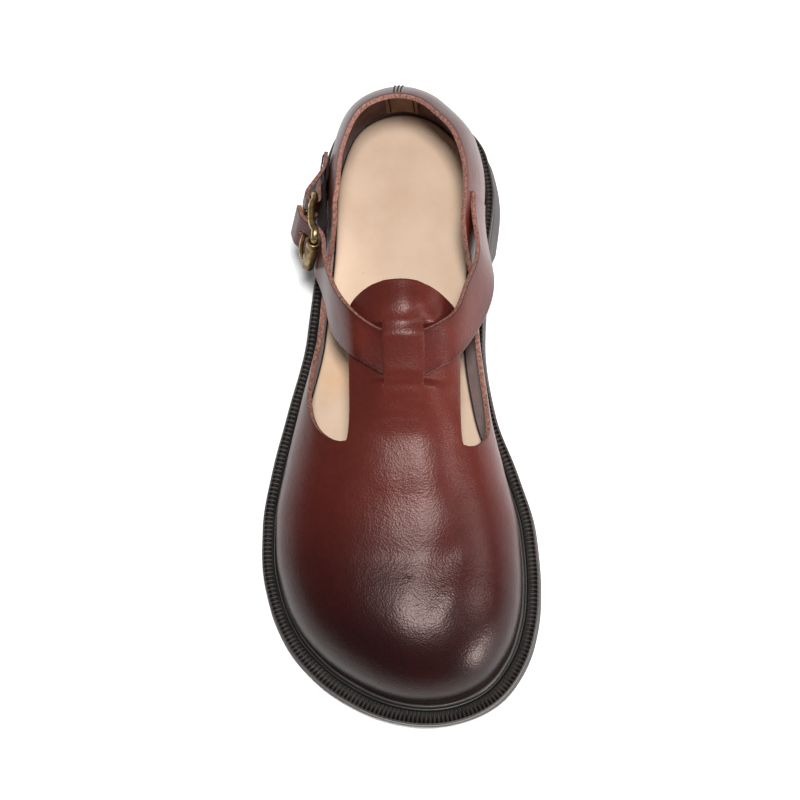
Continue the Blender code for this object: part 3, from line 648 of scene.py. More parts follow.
def roundOff(part):
    return sqrt(1 - (upperCut["roundShare"] * min(max(part, 0.0), 1.0)) ** 2)


def tbarWidth(share):
    # the free end is rounded, a little squarer than an ellipse
    part = min(max((upperCut["flapEnd"] + upperCut["flapRound"] - share) / upperCut["flapRound"], 0.0), 1.0)
    part = upperCut["roundShare"] * part
    return upperCut["tbarHalf"] * (1 - part ** upperCut["flapSquare"]) ** (1 / upperCut["flapSquare"])


def rimClimb(share, side):
    return climbToHeight(share, side, rimCurves[side](share) * shoe["collar"])


def edgeClimbs(share, side):
    # the wall's edge and the T-bar's edge, which meet round the front of the cut-out
    bar = climbToReach(share, side, tbarWidth(share))
    wall = rimClimb(share, side)
    if share > upperCut["cutoutEnd"]:
        wall = min(wall, upperCut["wallLimit"] * bar)
    meet = bar - upperCut["cutoutLean"] * (bar - wall)
    start = upperCut["cutoutEnd"] - upperCut["cutoutRound"]
    if share <= start:
        return wall, bar
    if share <= upperCut["cutoutEnd"]:
        spread = roundOff((share - start) / upperCut["cutoutRound"])
    else:
        tip = roundOff(1.0)
        rest = (share - upperCut["cutoutEnd"]) / (shoe["toePivot"] - upperCut["cutoutEnd"])
        spread = tip + (1 - tip) * smooth(rest)
    return meet + (wall - meet) * spread, meet + (bar - meet) * spread


def loopLift(share, reach, strip):
    # the loop swells over the strap and runs out softly into the flap and the vamp
    cut = upperCut
    rise = shoe["leather"] + strapSize["thick"] + 3 * shoe["clearance"]
    if strip == "loop":
        back = (smooth((share - cut["slitBack"]) / cut["pinch"])
                + smooth((share - cut["slitBack"] + cut["backRun"]) / cut["backRun"]))
        front = (smooth((cut["slitFront"] - share) / cut["pinch"])
                 + smooth((cut["slitFront"] + cut["frontRun"] - share) / cut["frontRun"]))
        return rise * back * front / 4
    if strip != "bar":
        return 0.0
    side = smooth((cut["tbarHalf"] - reach) / (cut["tbarHalf"] - cut["loopHalf"]))
    back = smooth((cut["slitBack"] + cut["slitDrop"] - share) / cut["slitDrop"])
    front = smooth((share - cut["slitFront"] + cut["slitDrop"]) / cut["slitDrop"])
    return side * max(back, front) * loopLift(share, reach, "loop")


def between(start, end, count):
    # even places from start on, the end left out
    return [start + (end - start) * i / count for i in range(count)]


def upperStations():
    # sections along the upper, closer together where the flap and the cut-outs are round
    cut = upperCut
    flapFront, bendStart = cut["flapEnd"] + cut["flapRound"], cut["cutoutEnd"] - cut["cutoutRound"]
    bend = [pi / 2 * i / cut["bendRows"] for i in (0, *range(3, cut["bendRows"] + 1))]
    rows = [shareOfTurn(turn) for turn in between(0.0, turnOf(shoe["heelPivot"]), cut["heelRows"])]
    rows += between(shoe["heelPivot"], cut["flapEnd"], cut["backRows"])
    rows += [cut["flapEnd"] + cut["flapRound"] * (1 - cos(turn)) for turn in bend]
    rows += [(flapFront + cut["slitBack"]) / 2]
    rows += between(cut["slitBack"], cut["slitFront"], cut["slitRows"])
    rows += between(cut["slitFront"], bendStart, cut["frontRows"])
    rows += [bendStart + cut["cutoutRound"] * cos(turn) for turn in bend]
    rows += between(cut["cutoutEnd"], shoe["toePivot"], cut["toeRows"])[1:]
    rows += [shareOfTurn(turn) for turn in between(turnOf(shoe["toePivot"]), pi, cut["toeRows"])]
    return sorted(rows + [1.0])


def columnLines(share, side):
    # climbs of the grid lines on one side, from the seat to the ridge
    if share > shoe["toePivot"]:
        part = smooth((share - shoe["toePivot"]) / (1 - shoe["toePivot"])) / 2
        own, other = columnLines(shoe["toePivot"], side), columnLines(shoe["toePivot"], -side)
        return [a + (b - a) * part for a, b in zip(own, other)]
    cut = upperCut
    wall, bar = edgeClimbs(share, side)
    scale = max(tbarWidth(share) / cut["tbarHalf"], 0.05)
    slitOuter = climbToReach(share, side, (cut["loopHalf"] + cut["slitWidth"]) * scale)
    slitInner = climbToReach(share, side, cut["loopHalf"] * scale)
    lines = between(0.0, wall, cut["wallLines"]) + between(wall, bar, cut["gapLines"])
    lines += between(bar, slitOuter, cut["barLines"]) + [slitOuter]
    return lines + between(slitInner, 1.0, cut["loopLines"]) + [1.0]


# soft troughs (below zero) and ridges: place, turn from +X, half length, width, height
creases = makeTable(
    "x y turn reach width height",
    (0.0175, -0.170, 62, 0.030, 0.0060, -0.0007),
    (0.0260, -0.128, 80, 0.022, 0.0050, -0.0005),
    (-0.0230, -0.120, 100, 0.020, 0.0055, -0.0005),
    (0.0030, -0.1035, 4, 0.011, 0.0011, -0.00025),
    (0.0050, -0.1065, -6, 0.012, 0.0012, -0.00025),
    (0.0020, -0.1100, 3, 0.013, 0.0013, -0.0002),
    (0.0135, -0.0715, 33, 0.013, 0.0016, -0.0008),
    (0.0060, -0.140, 5, 0.034, 0.0080, -0.0004),
)
# small waves of the whole skin, then how the flap curls up, dips in its middle and droops at its end
softShape = dict(waves=0.00022, waveScale=55.0, curl=0.0011, dip=0.0008, droop=0.0034)


def softForm(point, strip, share, reach):
    total = softShape["waves"] * noise.noise(point * softShape["waveScale"])
    for crease in creases:
        dx, dy = point.x - crease["x"], point.y - crease["y"]
        turn = radians(crease["turn"])
        along, off = dx * cos(turn) + dy * sin(turn), dy * cos(turn) - dx * sin(turn)
        total += (crease["height"] * exp(-(off / crease["width"]) ** 2)
                  * smooth(1.4 - 1.4 * abs(along) / crease["reach"]))
    if strip in ("bar", "loop") and share < upperCut["slitBack"]:
        back = (upperCut["slitBack"] - share) / (upperCut["slitBack"] - upperCut["flapEnd"])
        wide = min(reach / upperCut["tbarHalf"], 1.0)
        total += back * (softShape["curl"] * wide ** 2 - softShape["dip"] * (1 - wide ** 2))
        total -= softShape["droop"] * back ** 2
    return total


# how dark the leather is: burnished darkest round the toe; also darker low on the sides near the seat, and
# round the heel
burnish = dict(
    base=0.27, toe=0.55, toeStart=0.58, toeRun=0.36, low=0.18, toeLow=0.30, lowRun=0.013,
    heel=0.15, heelStart=0.25, heelRun=0.20,
)


def burnishAt(point, height):
    share = shareAt(point.y)
    toe = smooth((share - burnish["toeStart"]) / burnish["toeRun"])
    heel = smooth((burnish["heelStart"] - share) / burnish["heelRun"])
    low = (burnish["low"] + burnish["toeLow"] * toe) * exp(-height / burnish["lowRun"])
    return burnish["base"] + burnish["toe"] * toe + low + burnish["heel"] * heel


def buildUpper(leather, suede, rawEdge):
    rows = upperStations()
    cut = upperCut
    strips = (["wall"] * cut["wallLines"] + ["gap"] * cut["gapLines"] + ["bar"] * cut["barLines"]
              + ["slit"] + ["loop"] * cut["loopLines"])
    half = len(strips)
    lines = {(side, j): columnLines(share, side) for side in (-1, 1) for j, share in enumerate(rows)}

    def place(i, j):
        side = -1 if i <= half else 1
        k = i if side < 0 else 2 * half - i
        share = rows[j]
        climb = lines[side, j][k]
        strip = strips[min(k, half - 1)]
        bare = lastPoint(share, side, climb)
        section = lastSection(share, side)
        reach = (Vector((bare.x, bare.y)) - section[1]).length
        if strip == "slit":
            strip = "bar"
        lift = softForm(bare, strip, share, reach) + loopLift(share, reach, strip)
        point = lastPoint(share, side, climb, lift)
        return point, burnishAt(point, point.z - section[2])

    def keep(i, j):
        k = i if i < half else 2 * half - 1 - i
        middle = (rows[j] + rows[j + 1]) / 2
        strip = strips[k]
        if strip != "wall" and middle < cut["flapEnd"]:
            return False
        if strip == "gap" and middle < cut["cutoutEnd"]:
            return False
        return not (strip == "slit" and cut["slitBack"] < middle < cut["slitFront"])

    bm = closeUp(layGrid(2 * half, len(rows) - 1, place, keep, mark="burnish"), 1.5e-5)
    faceTowards(bm, lastPoint(0.70, 1, 0.8), Vector((0, 0, 1)))
    showPiece("upperShell", bm, (leather, suede, rawEdge), "upper",
              wall=(shoe["leather"], -1), edge=0.00030)


# welt strip with its ribs, groove and lip; shares of the ledge from the outside in
randShape = dict(
    ribs=350, ribDepth=0.0012, ribEnd=0.62, grooveEnd=0.80, lipEnd=0.965,
    grooveDepth=0.0013, lipHeight=0.0004, corner=0.0005,
    ribWave=(1.0, 1.0, 0.15, 0.0, 0.15),      # how deep each of a rib's rings lies
)


def evenWalk(count):
    # evenly spaced places round the outline, outer side first
    fine = 900
    walk = [(shareOfTurn(pi * i / fine), -1) for i in range(fine)]
    walk += [(shareOfTurn(pi - pi * i / fine), 1) for i in range(fine)]
    points = [outlinePoint(*place) for place in walk]
    lengths = [0.0]
    for a, b in zip(points, points[1:] + points[:1]):
        lengths.append(lengths[-1] + (b - a).length)
    places, k = [], 0
    for i in range(count):
        goal = lengths[-1] * i / count
        while lengths[k + 1] < goal:
            k += 1
        part = (goal - lengths[k]) / (lengths[k + 1] - lengths[k])
        here, there = turnOf(walk[k][0]), turnOf(walk[(k + 1) % len(walk)][0])
        places.append((shareOfTurn(here + (there - here) * part), walk[k][1]))
    return places


def buildRand(rubber):
    shape = randShape
    ribWave = shape["ribWave"]
    walk = evenWalk(shape["ribs"] * len(ribWave))

    def rows(share, low):
        ledge = ledgeWidth(share)
        inside = ledge + shoe["leather"]
        corner, drop = shape["corner"], shape["ribDepth"] * low
        ribEnd, grooveEnd, lipEnd = (ledge * shape[key] for key in ("ribEnd", "grooveEnd", "lipEnd"))
        return ((0.0, -shoe["rand"]), (0.0, -corner), (0.4 * corner, -0.3 * corner), (1.4 * corner, 0.0),
                (1.6 * corner, -drop), (0.5 * (ribEnd + corner), -drop - 0.0001), (ribEnd - 0.0003, -drop),
                (ribEnd, -0.5 * shape["grooveDepth"]), (ribEnd + 0.0002, -shape["grooveDepth"]),
                (grooveEnd, -shape["grooveDepth"]), (grooveEnd + 0.0003, shape["lipHeight"] * 0.6),
                (0.5 * (grooveEnd + lipEnd) + 0.0002, shape["lipHeight"]),
                (lipEnd, shape["lipHeight"] * 0.5), (lipEnd + 0.0001, -0.0004), (inside, -0.0004),
                (inside, -shoe["rand"]))

    count = len(rows(0.5, 0.0))

    def place(i, j):
        share, side = walk[j % len(walk)]
        inward, height = rows(share, ribWave[j % len(ribWave)])[i % count]
        flat = outlineInset(share, side, inward)
        # painted shade mark: grows with depth below the rib tops, full in the groove and the deepest rib
        # valleys, none on the crests and the lip
        sunk = smooth(-height / shape["ribDepth"]) if 3 < i % count < 13 else 0.0
        return Vector((flat.x, flat.y, seatHeight(flat.y) + height - shoe["seatGap"])), sunk

    bm = closeUp(layGrid(count, len(walk), place, mark="groove"), 2e-6)
    showPiece("randStrip", bm, (rubber,), "rand")


# side of the outsole from the ground up: step inwards, share of the flare, level of its height
soleSide = makeTable(
    "step flare level",
    (0.0024, 1.00, 0.000),
    (0.0008, 1.00, 0.030),
    (0.0000, 1.00, 0.110),
    (0.0000, 0.80, 0.250),
    (0.0000, 0.50, 0.500),
    (0.0000, 0.20, 0.750),
    (0.0001, 0.00, 0.880),
    (0.0010, 0.00, 0.925),
    (0.0010, 0.00, 1.000),
)
treadPatches = makeTable(
    "start end width",
    (0.055, 0.205, 0.62),
    (0.615, 0.775, 0.86),
)
treadShape = dict(depth=0.0016, groove=0.0030, pitch=0.0095, step=0.00004)
outsoleGrid = dict(rows=170, across=30, nearest=0.0012)


def grooveBands():
    bands = []
    for patch in treadPatches:
        count = floor((patch["end"] - patch["start"]) * shoe["length"] / treadShape["pitch"]) + 1
        for i in range(count):
            middle = shoe["heelY"] - patch["start"] * shoe["length"] - (i + 0.5) * treadShape["pitch"]
            bands.append((middle, patch["width"] * shoe["ball"] / 2))
    return bands


def turnRows(count):
    # sections from end to end, closer together at the round ends
    return [shareOfTurn(pi * i / count) for i in range(count + 1)]


def outsoleTop(y):
    return seatHeight(y) - shoe["rand"] - 2 * shoe["seatGap"]


def buildOutsole(rubber):
    bands = grooveBands()
    walls = []
    for middle, half in bands:
        for edge in (-0.5, 0.5):
            for nudge in (-1, 1):
                walls.append(shareAt(middle + edge * treadShape["groove"] + nudge * treadShape["step"]))
    rows = [row for row in turnRows(outsoleGrid["rows"])
            if all(abs(row - wall) > outsoleGrid["nearest"] for wall in walls)]
    rows = sorted(rows + walls)
    inner = outsoleGrid["across"]               # strips across the underside and the top
    side = len(soleSide)

    def edgePoint(share, way, row):
        wide = flareCurve(share) * shoe["flare"]
        flat = outlineInset(share, way, row["step"] - row["flare"] * wide)
        low = groundHeight(flat.y)
        return Vector((flat.x, flat.y, low + (outsoleTop(flat.y) - low) * row["level"]))

    def place(i, j):
        share = rows[j]
        i = i % (2 * (side + inner - 1))
        if i < side:
            return edgePoint(share, -1, soleSide[i])
        i -= side - 1
        if i < inner:
            return edgePoint(share, -1, soleSide[-1]).lerp(edgePoint(share, 1, soleSide[-1]), i / inner)
        i -= inner
        if i < side:
            return edgePoint(share, 1, soleSide[-1 - i])
        part = (i - side + 1) / inner
        point = edgePoint(share, 1, soleSide[0]).lerp(edgePoint(share, -1, soleSide[0]), part)
        for middle, half in bands:
            if abs(point.y - middle) < treadShape["groove"] / 2 and abs(point.x) < half:
                point.z += treadShape["depth"]
        return point

    bm = closeUp(layGrid(2 * (side + inner - 1), len(rows) - 1, place), 2e-6)
    showPiece("outsoleBody", bm, (rubber,), "outsole")


insoleShape = dict(rise=0.0022, bevel=0.0009, dish=0.0010, waves=0.00018, rows=120, across=40)


def buildInsole(hide):
    shape = insoleShape
    rows = turnRows(shape["rows"])
    across = shape["across"]

    def edge(share, side, inward, drop):
        flat = outlineInset(share, side, ledgeWidth(share) + shoe["leather"] + shoe["seatGap"] + inward)
        return Vector((flat.x, flat.y, seatHeight(flat.y) + shape["rise"] - drop))

    def corner(share, side, k):
        if k == 0:
            point = edge(share, side, 0.0, 0.0)
            point.z = outsoleTop(point.y) + shoe["clearance"]
            return point
        inward, drop = ((0.0, 1.0), (0.3, 0.3), (1.0, 0.0))[k - 1]
        return edge(share, side, inward * shape["bevel"], drop * shape["bevel"])

    total = 2 * (3 + across)

    def place(i, j):
        share = rows[j]
        i = i % total
        if i < 4:
            return corner(share, -1, i)
        if i < 3 + across:
            part = (i - 3) / across
            point = corner(share, -1, 3).lerp(corner(share, 1, 3), part)
            bowl = 1 - (2 * part - 1) ** 4
            ends = smooth(share / 0.06) * smooth((1 - share) / 0.06)
            soft = shape["waves"] * noise.noise(Vector((point.x, point.y, 0)) * 70)
            point.z += (soft - shape["dish"]) * bowl * ends
            return point
        i -= 3 + across
        if i < 4:
            return corner(share, 1, 3 - i)
        return corner(share, 1, 0).lerp(corner(share, -1, 0), (i - 3) / across)

    bm = closeUp(layGrid(total, len(rows) - 1, place), 2e-6)
    showPiece("insoleSock", bm, (hide,), "insole")


# the buckle: places in shares of the length, ball width and instep height, sizes in metres
buckleSize = dict(
    low=(0.309, -0.334, 0.474), high=(0.285, -0.289, 0.716),
    fall=18.0, swing=-0.06, length=0.0212, inside=0.0215, corner=0.0034, bow=0.0014,
    bar=0.0014, roller=0.0026, rollerWall=0.0007, rollerEdge=0.0002, prong=0.0009, slot=0.0036,
)


def placed(along, across, height):
    return Vector((across * shoe["ball"], shoe["heelY"] - along * shoe["length"], height * shoe["instep"]))


def buckleAxes():
    low, high = placed(*buckleSize["low"]), placed(*buckleSize["high"])
    up = (high - low).normalized()
    fall = radians(buckleSize["fall"])
    back = Vector((buckleSize["swing"], cos(fall), -sin(fall)))
    back -= up * back.dot(up)
    forward = -back.normalized()
    out = up.cross(forward).normalized()
    if out.x > 0:
        out = -out
    return (low + high) / 2 - forward * buckleSize["length"], forward, up, out


buckleBack, buckleForward, buckleUp, buckleOut = buckleAxes()


def bucklePoint(forward, up, out):
    return buckleBack + buckleForward * forward + buckleUp * up + buckleOut * out


def throughPoints(points, steps, closed=False):
    # a smooth line through points, several steps between each pair
    count = len(points)
    spans = count if closed else count - 1
    line = []
    for k in range(spans):
        if closed:
            a, b, c, d = (points[(k + n) % count] for n in (-1, 0, 1, 2))
        else:
            a, b, c, d = points[max(k - 1, 0)], points[k], points[k + 1], points[min(k + 2, count - 1)]
        for step in range(steps):
            t = step / steps
            line.append(0.5 * ((2 * b) + (c - a) * t + (2 * a - 5 * b + 4 * c - d) * t * t
                               + (3 * b - a - 3 * c + d) * t ** 3))
    if not closed:
        line.append(points[-1].copy())
    return line


def sweepRound(line, radius, sides, side, closed=False):
    # a round bar along a line; side is a direction that its sections keep
    count = len(line)
    last = count if closed else count - 1

    def place(i, j):
        here = line[j % count]
        ahead = line[(j + 1) % count] if closed else line[min(j + 1, count - 1)]
        before = line[(j - 1) % count] if closed else line[max(j - 1, 0)]
        run = (ahead - before).normalized()
        first = (side - run * side.dot(run)).normalized()
        second = run.cross(first)
        turn = 2 * pi * (i % sides) / sides
        size = radius(j / last) if callable(radius) else radius
        return here + (first * cos(turn) + second * sin(turn)) * size

    bm = layGrid(sides, last, place)
    bmesh.ops.remove_doubles(bm, verts=bm.verts, dist=1e-6)
    if not closed:
        bmesh.ops.holes_fill(bm, edges=bm.edges, sides=sides)
    bmesh.ops.recalc_face_normals(bm, faces=bm.faces)
    return bm


def buildBuckleFrame(brass):
    size = buckleSize
    half = size["inside"] / 2 + size["bar"]
    points = []
    for forward, up, start in ((size["length"], half, 90), (size["length"], -half, 0),
                               (0, -half, -90), (0, half, -180)):
        middleForward = forward - size["corner"] if forward else size["corner"]
        middleUp = up - size["corner"] if up > 0 else up + size["corner"]
        for i in range(5):
            turn = radians(start - 90 * i / 4)
            points.append(bucklePoint(middleForward + size["corner"] * cos(turn),
                                      middleUp + size["corner"] * sin(turn), 0))
    lower, upper = ([bucklePoint(size["length"] * part, up, size["bow"] * sin(pi * part))
                     for part in (0.3, 0.5, 0.7)] for up in (-half, half))
    points = points[:10] + lower[::-1] + points[10:] + upper
    bm = sweepRound(throughPoints(points, 5, closed=True), size["bar"], 20, buckleOut, closed=True)
    showPiece("buckleRing", bm, (brass,), "buckle_frame")


def buildRoller(metal):
    # a rolled tube: its wall's profile spun round the front bar
    size = buckleSize
    half = size["inside"] / 2 + size["bar"] - size["corner"]
    outer, inner, soft = size["roller"], size["roller"] - size["rollerWall"], size["rollerEdge"]
    bm = bmesh.new()
    profile = ((inner, -half), (outer - soft, -half), (outer, -half + soft), (outer, 0.0),
               (outer, half - soft), (outer - soft, half), (inner, half))
    ring = [bm.verts.new(bucklePoint(size["length"] + reach, level, 0)) for reach, level in profile]
    edges = [bm.edges.new(pair) for pair in zip(ring, ring[1:] + ring[:1])]
    bmesh.ops.spin(bm, geom=ring + edges, cent=bucklePoint(size["length"], 0, 0), axis=buckleUp,
                   angle=2 * pi, steps=40, use_merge=True)
    closeUp(bm, 1e-6)
    showPiece("buckleTube", bm, (metal,), "buckle_roller", edge=0.00008)


# prong from its hook to its tip: forward in buckle lengths, out in distances off the bar and the roller
prongRoute = makeTable(
    "forward bar roller",
    (0.25, 0.95, 0.00),
    (0.50, 0.80, 0.00),
    (0.70, 0.50, 0.50),
    (0.85, 0.00, 0.97),
    (1.00, 0.00, 1.00),
    (1.12, 0.00, 0.92),
)


def buildProng(brass):
    size = buckleSize
    hook = size["bar"] + shoe["clearance"] + size["prong"]
    rest = size["roller"] + shoe["clearance"] + size["prong"]
    route = [(hook * cos(radians(turn)), hook * sin(radians(turn))) for turn in range(280, 89, -38)]
    route += [(row["forward"] * size["length"], row["bar"] * hook + row["roller"] * rest)
              for row in prongRoute]
    line = throughPoints([bucklePoint(forward, 0, out) for forward, out in route], 5)

    def radius(part):
        return size["prong"] * (1 - 0.45 * smooth((part - 0.88) / 0.12))

    showPiece("bucklePin", sweepRound(line, radius, 14, buckleUp), (brass,), "buckle_prong")


# the strap's rear end, flat on the inner quarter and sunk a little at its cut
strapRoot = makeTable(
    "along top sunk",
    (0.215, 0.800, 0.0009),
    (0.240, 0.785, 0.0003),
)
# both edges of the strap where it hangs free, each as its place along, across and high
innerRun = makeTable(
    "upper lower",
    ((0.275, 0.284, 0.690), (0.284, 0.318, 0.474)),
    ((0.304, 0.289, 0.694), (0.326, 0.341, 0.480)),
    ((0.333, 0.276, 0.722), (0.366, 0.330, 0.510)),
    ((0.366, 0.247, 0.768), (0.406, 0.298, 0.560)),
)
# where it crosses the T-bar: reach in the bar's half widths, both edges along, lift in strap thicknesses
crossing = makeTable(
    "reach upper lower lift",
    (0.86, 0.400, 0.466, 0.95),
    (0.68, 0.417, 0.480, 0.75),
    (0.50, 0.430, 0.492, 0.32),
    (0.34, 0.438, 0.502, 0.05),
    (0.22, 0.439, 0.503, 0.00),
    (0.00, 0.440, 0.504, 0.00),
)
outerRun = makeTable(
    "upper lower",
    ((0.378, -0.200, 0.783), (0.428, -0.222, 0.590)),
    ((0.348, -0.230, 0.742), (0.390, -0.243, 0.535)),
    ((0.318, -0.250, 0.713), (0.350, -0.266, 0.494)),
)
# its end through the buckle: forward in buckle lengths, out above (+) or under (-) the bars
strapTail = makeTable(
    "forward out",
    (1.17, -1.00),
    (1.00, -1.00),
    (0.84, -0.80),
    (0.70, -0.21),
    (0.50, 1.03),
    (0.37, 1.32),
    (0.24, 1.48),
)
strapLook = dict(
    columns=22, steps=6, stiffness=12, holeForward=0.60, holeHalf=0.0019, holeDeep=0.0042,
    shade=0.22, rimShade=0.26, rimRun=0.0022, patches=0.18, patchScale=45.0,
)


def strapSection(row, kind, part):
    if kind == "root":
        height = row["top"] * shoe["collar"] - part * strapSize["width"]
        return onQuarter(row["along"], 1, height, shoe["clearance"] + strapSize["thick"] / 2 - row["sunk"])
    if kind == "run":
        return placed(*row["upper"]).lerp(placed(*row["lower"]), part)
    if kind == "tail":
        under = buckleSize["roller"] + shoe["clearance"] + strapSize["thick"] / 2
        over = buckleSize["bar"] + buckleSize["prong"] + shoe["clearance"] + strapSize["tabThick"]
        out = row["out"] * (over if row["out"] > 0 else under)
        return bucklePoint(row["forward"] * buckleSize["length"], (0.5 - part) * strapSize["width"], out)
    share = row["upper"] + (row["lower"] - row["upper"]) * part
    side = 1 if kind == "inner" else -1
    climb = climbToReach(share, side, row["reach"] * upperCut["tbarHalf"])
    lift = 2 * shoe["clearance"] + (0.5 + row["lift"]) * strapSize["thick"]
    return lastPoint(share, side, climb, lift)


def settle(line, end):
    # stiff leather takes no small waves: evens the line out as far as its bend to the buckle
    for _ in range(strapLook["stiffness"]):
        eased = [(a + 2 * b + c) / 4 for a, b, c in zip(line, line[1:], line[2:])]
        line = line[:1] + [new if k + 1 < end else old
                           for k, (new, old) in enumerate(zip(eased, line[1:-1]))] + line[-1:]
    return line


def buildStrap(leather, suede, rawEdge):
    look = strapLook
    stops = [(row, "root") for row in strapRoot]
    stops += [(row, "run") for row in innerRun]
    stops += [(row, "inner") for row in crossing]
    stops += [(row, "outer") for row in reversed(crossing[:-1])]
    stops += [(row, "run") for row in outerRun]
    tailStart = len(stops)
    stops += [(row, "tail") for row in strapTail]
    columns, lines = look["columns"], []
    for i in range(columns + 1):
        points = [strapSection(row, kind, i / columns) for row, kind in stops]
        lines.append(settle(throughPoints(points, look["steps"]), tailStart * look["steps"]))
    hole = bucklePoint(look["holeForward"] * buckleSize["length"], 0, 0)

    def place(i, j):
        part = i / columns
        rim = min(part, 1 - part) * strapSize["width"]
        shade = look["shade"] + look["rimShade"] * exp(-rim / look["rimRun"])
        return lines[i][j], shade + look["patches"] * abs(noise.noise(lines[i][j] * look["patchScale"]))

    bm = layGrid(columns, len(lines[0]) - 1, place, mark="burnish")
    punched = []
    for face in bm.faces:
        centre = face.calc_center_median() - hole
        off = Vector((centre.dot(buckleUp), centre.dot(buckleForward)))
        if off.length < look["holeHalf"] and abs(centre.dot(buckleOut)) < look["holeDeep"]:
            punched.append(face)
    bmesh.ops.delete(bm, geom=punched, context="FACES")
    bmesh.ops.recalc_face_normals(bm, faces=bm.faces)
    faceTowards(bm, strapSection(crossing[-1], "inner", 0.5), Vector((0, 0, 1)))
    showPiece("ankleStrap", bm, (leather, suede, rawEdge), "ankle_strap",
              wall=(strapSize["thick"], 0), edge=0.00030)


def onQuarter(along, side, height, lift):
    return lastPoint(along, side, climbToHeight(along, side, height), lift)


# places on the outer quarter where the tab and the elastic are sewn, in collar heights; then the
# tab's runs behind the back bar, and the elastic's run under the buckle, in buckle lengths
tabSeam = (dict(along=0.132, height=0.500), dict(along=0.160, height=0.488))
elasticSeam = (dict(along=0.150, height=0.485), dict(along=0.172, height=0.470))
tabOuterEnd = dict(behind=0.15, press=0.95)
tabInnerRun = (dict(behind=0.225, press=0.95), dict(behind=0.425, press=0.90))
tabLook = dict(columns=16, steps=5, shade=0.40, rimShade=0.20, rimRun=0.0020)
elasticRun = makeTable(
    "forward sag",
    (-0.25, 0.0),
    (0.20, 0.3),
    (0.60, 0.9),
)


def bandLines(sections, steps):
    return [throughPoints(points, steps) for points in zip(*sections)]


def seamPoints(row, width, lift, columns):
    middle = row["height"] * shoe["collar"]
    return [onQuarter(row["along"], -1, middle + (0.5 - i / columns) * width, lift)
            for i in range(columns + 1)]


def bandPoints(forward, out, width, columns):
    return [bucklePoint(forward, (0.5 - i / columns) * width, out) for i in range(columns + 1)]


def buildTab(leather, suede, rawEdge):
    size, look = strapSize, tabLook
    columns, steps = look["columns"], look["steps"]
    lift = shoe["clearance"] * 2 + size["elasticThick"] + size["tabThick"] / 2
    sections = [seamPoints(row, size["tabWidth"], lift, columns) for row in tabSeam]
    wrap = buckleSize["bar"] + shoe["clearance"] + size["tabThick"] / 2
    length = buckleSize["length"]
    route = [(-tabOuterEnd["behind"] * length, tabOuterEnd["press"] * wrap)]
    route += [(wrap * cos(radians(turn)), wrap * sin(radians(turn))) for turn in range(90, -91, -36)]
    route += [(-row["behind"] * length, -row["press"] * wrap) for row in tabInnerRun]
    sections += [bandPoints(forward, out, size["tabWidth"], columns) for forward, out in route]
    lines = bandLines(sections, steps)
    slotHalf = buckleSize["slot"] / 2
    slotEnds = (2 * steps, (len(sections) - 2) * steps)

    def place(i, j):
        rim = min(i, columns - i) / columns * size["tabWidth"]
        return lines[i][j], look["shade"] + look["rimShade"] * exp(-rim / look["rimRun"])

    def keep(i, j):
        off = abs((i + 0.5) / columns - 0.5) * size["tabWidth"]
        return not (off < slotHalf and slotEnds[0] <= j < slotEnds[1])

    bm = layGrid(columns, len(lines[0]) - 1, place, keep, mark="burnish")
    bmesh.ops.recalc_face_normals(bm, faces=bm.faces)
    faceTowards(bm, sections[0][columns // 2], Vector((-1, 0, 0)))
    showPiece("buckleTab", bm, (leather, suede, rawEdge), "buckle_tab",
              wall=(size["tabThick"], 0), edge=0.00022)


def buildElastic(weave):
    size = strapSize
    columns = 24
    sections = [seamPoints(row, size["elasticWidth"], shoe["clearance"] + size["elasticThick"] / 2, columns)
                for row in elasticSeam]
    behind = buckleSize["bar"] + size["tabThick"] + 3 * shoe["clearance"] + size["elasticThick"] / 2
    for row in elasticRun:
        out = -behind - row["sag"] * size["elasticThick"]
        sections.append(bandPoints(row["forward"] * buckleSize["length"], out, size["elasticWidth"], columns))
    lines = bandLines(sections, 7)

    def place(i, j):
        return lines[i][j], i / columns * size["elasticWidth"]

    bm = layGrid(columns, len(lines[0]) - 1, place, mark="across")
    bmesh.ops.recalc_face_normals(bm, faces=bm.faces)
    showPiece("elasticBand", bm, (weave,), "elastic", wall=(size["elasticThick"], 0), edge=0.0002)


heelStrip = dict(width=0.0140, thick=0.0009, bottom=0.10, top=0.88)


def shareAtWidth(distance):
    low, high = 0.0, shoe["heelPivot"] / 2
    for _ in range(30):
        middle = (low + high) / 2
        if outlineInset(middle, 1, ledgeWidth(middle)).x < distance:
            low = middle
        else:
            high = middle
    return low


def heelPoint(off, level, lift):
    # a place near the heel's back: off from its middle, level in collar heights
    return onQuarter(shareAtWidth(abs(off)), 1 if off > 0 else -1, level * shoe["collar"], lift)


# its colour holds painted shade for the inside of the heel
def buildHeelStrip(lining):
    strip = heelStrip
    across, up = 14, 24
    lift = -(shoe["leather"] + shoe["seatGap"] + shoe["clearance"] + strip["thick"] / 2)

    def place(i, j):
        off = (i / across - 0.5) * strip["width"]
        level = strip["bottom"] + (strip["top"] - strip["bottom"]) * j / up
        return heelPoint(off, level, lift)

    bm = layGrid(across, up, place)
    bmesh.ops.recalc_face_normals(bm, faces=bm.faces)
    showPiece("heelStripHide", bm, (lining,), "heel_strip", wall=(strip["thick"], 0), edge=0.0002)


stitchSize = dict(length=0.0019, gap=0.0009, radius=0.00032, proud=0.00005)
# seams up the heel: place across, then from and to in collar heights, and which way they face
heelSeams = makeTable(
    "off bottom top facing",
    (-0.0016, 0.05, 0.98, 1),
    (0.0, 0.05, 0.98, 1),
    (0.0016, 0.05, 0.98, 1),
    (-0.0052, 0.12, 0.86, -1),
    (0.0052, 0.12, 0.86, -1),
)
tabSeams = dict(alongs=(0.137, 0.150), height=0.497, spread=0.88)


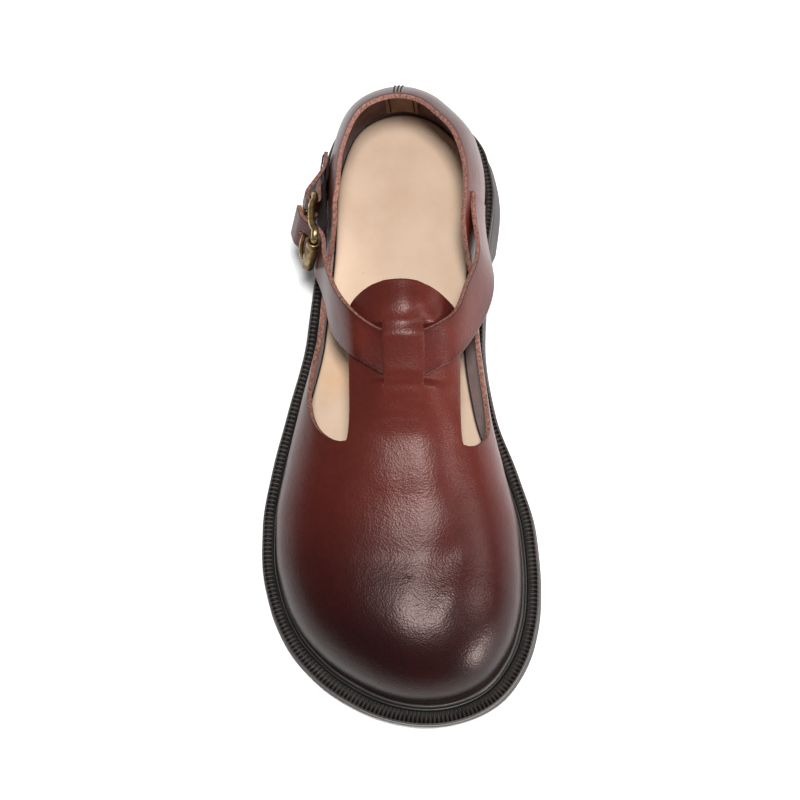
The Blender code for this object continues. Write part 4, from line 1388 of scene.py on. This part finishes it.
def addStitch(bm, start, end, out):
    run, radius = end - start, stitchSize["radius"]
    ahead = run.normalized()
    away = (out - ahead * out.dot(ahead)).normalized()
    turned = Matrix((run / 2, away.cross(ahead) * radius, away * radius)).transposed().to_4x4()
    turned.translation = (start + end) / 2
    bmesh.ops.create_uvsphere(bm, u_segments=8, v_segments=5, radius=1.0, matrix=turned)


def stitchRow(bm, route, out):
    # stitches of even length along a line of points
    step = stitchSize["length"] + stitchSize["gap"]
    travelled, start = 0.0, None
    for a, b in zip(route, route[1:]):
        phase = travelled % step
        if start is None and phase < stitchSize["length"]:
            start = a
        if start is not None and phase + (b - a).length >= stitchSize["length"]:
            addStitch(bm, start, b, out)
            start = None
            travelled += step - phase - (b - a).length if phase < stitchSize["length"] else 0.0
        travelled += (b - a).length


def buildStitches(thread):
    bm = bmesh.new()
    parts = [k / 260 for k in range(261)]
    proud = stitchSize["proud"]
    inside = shoe["leather"] + shoe["seatGap"] + shoe["clearance"] + heelStrip["thick"] + proud
    for seam in heelSeams:
        lift = 0.00008 if seam["facing"] > 0 else -inside
        route = [heelPoint(seam["off"], seam["bottom"] + (seam["top"] - seam["bottom"]) * part, lift)
                 for part in parts]
        stitchRow(bm, route, Vector((0, seam["facing"], 0)))
    lift = shoe["clearance"] * 2 + strapSize["elasticThick"] + strapSize["tabThick"] + proud
    for along in tabSeams["alongs"]:
        heights = [tabSeams["height"] * shoe["collar"]
                   + (0.5 - part) * tabSeams["spread"] * strapSize["tabWidth"] for part in parts]
        stitchRow(bm, [onQuarter(along, -1, height, lift) for height in heights], Vector((-1, 0.2, 0)))
    bmesh.ops.recalc_face_normals(bm, faces=bm.faces)
    showPiece("seamThread", bm, (thread,))


buildCamera()
buildStudio()
bpy.context.scene.view_settings.view_transform = "Standard"
print("camera and studio ready")
leather = makeLeather()
suede = makeHide("suedeSide")
rawEdge = makeHide("rawEdge")
brass = makeBrass("antiqueBrass", 0.0, 0.32)
buildOutsole(makeRubber("soleRubber", 0.55))
buildRand(makeRubber("weltRubberWithPaintedShade", 0.40, paintShadeInGrooves=True))
buildInsole(makeInsoleHide())
buildUpper(leather, suede, rawEdge)
buildHeelStrip(makeHide("liningHideWithPaintedShade"))
buildBuckleFrame(brass)
buildRoller(makeBrass("dullBronze", 0.14, 0.42))
buildProng(brass)
buildTab(leather, suede, rawEdge)
buildElastic(makeElasticWeave())
buildStrap(leather, suede, rawEdge)
buildStitches(makeHide("thread"))
print("pieces ready")
